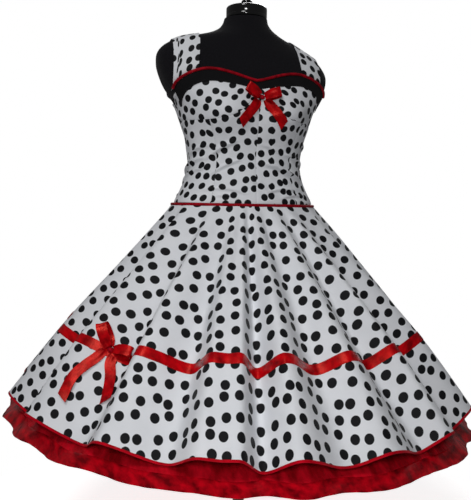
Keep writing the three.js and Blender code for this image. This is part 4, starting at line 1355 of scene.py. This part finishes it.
STITCHES, STITCH_SOCKETS = stitch_tree()
THREAD = woven_finish("red thread", "#a2040c", "#7c0008", 0.5, 0.0002, "X", 0.00004, 200)
BLACK_THREAD = woven_finish("black thread", "#1c1b20", "#121116", 0.6, 0.0002, "X", 0.00004, 200)


def sew(name, points, material, closed=False):
    """Sews along points in millimetres, and keeps the result as a plain mesh."""
    edges = [(k, k + 1) for k in range(len(points) - 1)] + ([(len(points) - 1, 0)] if closed else [])
    path = bpy.data.meshes.new(name + " path")
    path.from_pydata((points * MM).tolist(), edges, [])
    holder = add_object(name + " path", path)
    modifier = holder.modifiers.new("stitches", "NODES")
    modifier.node_group = STITCHES
    modifier[STITCH_SOCKETS["Material"]] = material
    mesh = made_plain(name, holder)
    mesh.shade_smooth()
    piece = add_object(name, mesh)
    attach(piece, "root")
    print(name, len(mesh.polygons), "faces")


# %% [markdown]
# ### Sewing
# Each row of stitches takes its path from the surface that it lies on, so it follows every fold.

# %% Sew the ribbon, the binding and the band
round_path = np.linspace(-180, 180, 721)[:-1]
for label, edge in (("upper", -0.88), ("lower", 0.88)):
    path = skirt_point(round_path, RIBBON_MIDDLE + edge * half_ribbon, CLOTH + 1.1)
    sew(f"stitches_ribbon_{label}", path, THREAD, True)
sew("stitches_hem", skirt_point(round_path, 1 + 1.6 / SLANT, CLOTH + 0.55), THREAD, True)
for side, way in (("right", -1), ("left", 1)):
    angle = girth_columns(1, BAND_END - 1, 140)
    points = on_body(way * angle, band_bottom(angle) + 2.6, BAND_FACE + 0.3 + 0 * angle)
    sew(f"stitches_band_{side}", points, BLACK_THREAD)

# %% [markdown]
# ## The form
# The torso is covered in jersey and has a seam down the middle of its front and back, drawn tight, so
# it lies in a shallow groove. The neck cap and its knob are turned shapes: a profile goes round an axis.

# %% Form and cap
def closed_stack(name, grid, flat, material):
    """A closed body from rings of points: the first and last rings are filled to a middle point."""
    columns, rows = grid.shape[:2]
    index = np.arange(columns * rows).reshape(columns, rows)
    spot = np.arange(flat.shape[0] * rows).reshape(-1, rows)
    here, there = index, np.roll(index, -1, axis=0)
    faces = np.stack([here[:, :-1], there[:, :-1], there[:, 1:], here[:, 1:]], axis=2).reshape(-1, 4)
    spots = np.stack([spot[:-1, :-1], spot[1:, :-1], spot[1:, 1:], spot[:-1, 1:]], axis=2).reshape(-1, 4)
    points = grid.reshape(-1, 3)
    mesh_faces = faces.tolist()
    mesh_spots = flat.reshape(-1, 2)[spots].reshape(-1, 2).tolist()
    for row, way in ((0, -1), (rows - 1, 1)):
        ring = index[:, row][::way]
        mesh_faces.append(ring.tolist())
        mesh_spots += (points[ring][:, :2] * MM).tolist()
    a, b, c = (points[faces[:, k]] for k in (0, 1, 2))
    if np.einsum("ij,ij->", a - points.mean(axis=0), np.cross(b - a, c - a)) < 0:
        turned_faces, turned_spots, k = [], [], 0
        for face in mesh_faces:
            turned_spots += mesh_spots[k:k + len(face)][::-1]
            turned_faces.append(face[::-1])
            k += len(face)
        mesh_faces, mesh_spots = turned_faces, turned_spots
    mesh = bpy.data.meshes.new(name)
    mesh.from_pydata((points * MM).tolist(), [], mesh_faces)
    return finish_piece(name, mesh, mesh_spots, material, 35)


FORM_BOTTOM = -150
FORM_GROOVE, GROOVE_WIDTH = 0.7, 2.0  # of the middle seam
angle = girth_columns(-179.999, 179.999, 200)[:-1][:, None]
height = np.linspace(FORM_BOTTOM, FORM_TOP, 112)[None, :]
point = body_point(angle, height, BUST_FORM)
out = unit(body_normal(point, BUST_FORM) * LEVEL)
off_seam = np.minimum(np.abs(angle), 180 - np.abs(angle)) * WAIST_ARC
groove = FORM_GROOVE * np.exp(-(off_seam / GROOVE_WIDTH) ** 2)
grid = point - out * (FORM_EASE + groove + 0 * height)[..., None] + LIFT
flat = np.stack(np.broadcast_arrays(np.append(angle, 180)[:, None] * WAIST_ARC * MM, height * MM), axis=2)
settle(closed_stack("jersey_torso", grid, flat, JERSEY), "form_torso")


def turned_piece(name, profile, segments, material):
    """A turned shape from radius and height pairs, from its underside to its top."""
    profile = np.array(profile, float)
    turn = np.linspace(0, 2 * np.pi, segments + 1)[:-1][:, None]
    radius, height = profile[None, :, 0], profile[None, :, 1] + 0 * turn
    grid = np.stack([radius * np.cos(turn), radius * np.sin(turn), height], axis=2)
    flat = ring_flat(grid)
    return closed_stack(name, grid, flat, material)


def rounded(radius, low, high, corner, steps=6):
    """The profiles of a disc's lower and upper rounded corners."""
    turns = np.linspace(0, np.pi / 2, steps)
    lower = [[radius - corner + corner * math.sin(t), low + corner - corner * math.cos(t)] for t in turns]
    upper = [[radius - corner + corner * math.cos(t), high - corner + corner * math.sin(t)] for t in turns]
    return lower, upper


def raised(profile, low):
    return [[radius, low + height] for radius, height in profile]


CAP_RADIUS, CAP_HEIGHT, CAP_CORNER = 52, 31, 6
CAP_LINE = [[CAP_RADIUS, 9], [CAP_RADIUS - 0.6, 10], [CAP_RADIUS, 11]]  # a fine groove round the cap
neck = SEAM_HEIGHT + FORM_TOP + GAP
lower, upper = rounded(CAP_RADIUS, neck, neck + CAP_HEIGHT, CAP_CORNER)
cap = turned_piece("cap_of_neck", lower + raised(CAP_LINE, neck) + upper, 64, LACQUER)
settle(cap, "form_neck_cap")
KNOB = [
    [9, 0], [9, 1.5], [8, 3.5], [8.6, 5.5], [11.5, 7.6], [13.6, 9.6],
    [14, 12], [13.6, 14.6], [12, 17], [9.5, 18.8], [6, 19.7], [2, 20],
]
knob = turned_piece("knob_of_neck", raised(KNOB, neck + CAP_HEIGHT + GAP), 40, LACQUER)
settle(knob, "form_knob")

# %% [markdown]
# ## The stand
# The dress stands on a steel pole with a round base, most of which lies in the skirt's shade.
# The base has a shallow crown and a rounded edge, and a collar clamps the pole.

# %% Stand
BASE_HEIGHT, COLLAR_HEIGHT, POLE_RADIUS = 16, 34, 15
# radius and height above the piece's underside
BASE = [
    [192, 0], [194, 0.6], [195, 2.2], [195, 4.5], [193.5, 7.5], [190, 9.6],
    [160, 11.2], [117, 12.9], [60, 15], [33, BASE_HEIGHT], [10, BASE_HEIGHT],
]
COLLAR = [
    [26, 0], [27, 1], [27, 8], [26, 10], [23, 20], [20.6, 31],
    [20, 33.5], [19, COLLAR_HEIGHT], [16, COLLAR_HEIGHT],
]
collar_low = BASE_HEIGHT + GAP
pole_low, pole_high = collar_low + COLLAR_HEIGHT + GAP, SEAM_HEIGHT + FORM_BOTTOM - GAP
POLE = [[POLE_RADIUS, height] for height in (pole_low, pole_low + 200, pole_high - 200, pole_high)]
for name, node, profile, segments in (("plate_of_stand", "stand_base", BASE, 96),
                                      ("collar_of_stand", "stand_collar", raised(COLLAR, collar_low), 48),
                                      ("pole_of_stand", "stand_pole", POLE, 40)):
    settle(turned_piece(name, profile, segments, STEEL_PAINT), node)

# %% [markdown]
# ## Floor
# The floor is a pale disc that fades into the white room. It isn't part of the object, and only gives
# the dress something to stand on and throw its soft shadow on.

# %% Floor
FLOOR_RADIUS = 1.0
FLOOR_GLOW = 0.6  # a lit studio floor is nearly as white as the room
floor_turns = np.linspace(0, 2 * math.pi, 97)[:-1]
floor_points = [(FLOOR_RADIUS * math.cos(turn), FLOOR_RADIUS * math.sin(turn), 0) for turn in floor_turns]
floor_mesh = bpy.data.meshes.new("studio floor")
floor_mesh.from_pydata(floor_points, [], [list(range(len(floor_points)))])
floor_finish, _, floor_shader = new_finish("pale floor", "#fafafa", 0.9, specular=0.1)
floor_shader.inputs["Emission Color"].default_value = (1, 1, 1, 1)
floor_shader.inputs["Emission Strength"].default_value = FLOOR_GLOW
floor_mesh.materials.append(floor_finish)
floor = add_object("studio_floor", floor_mesh)
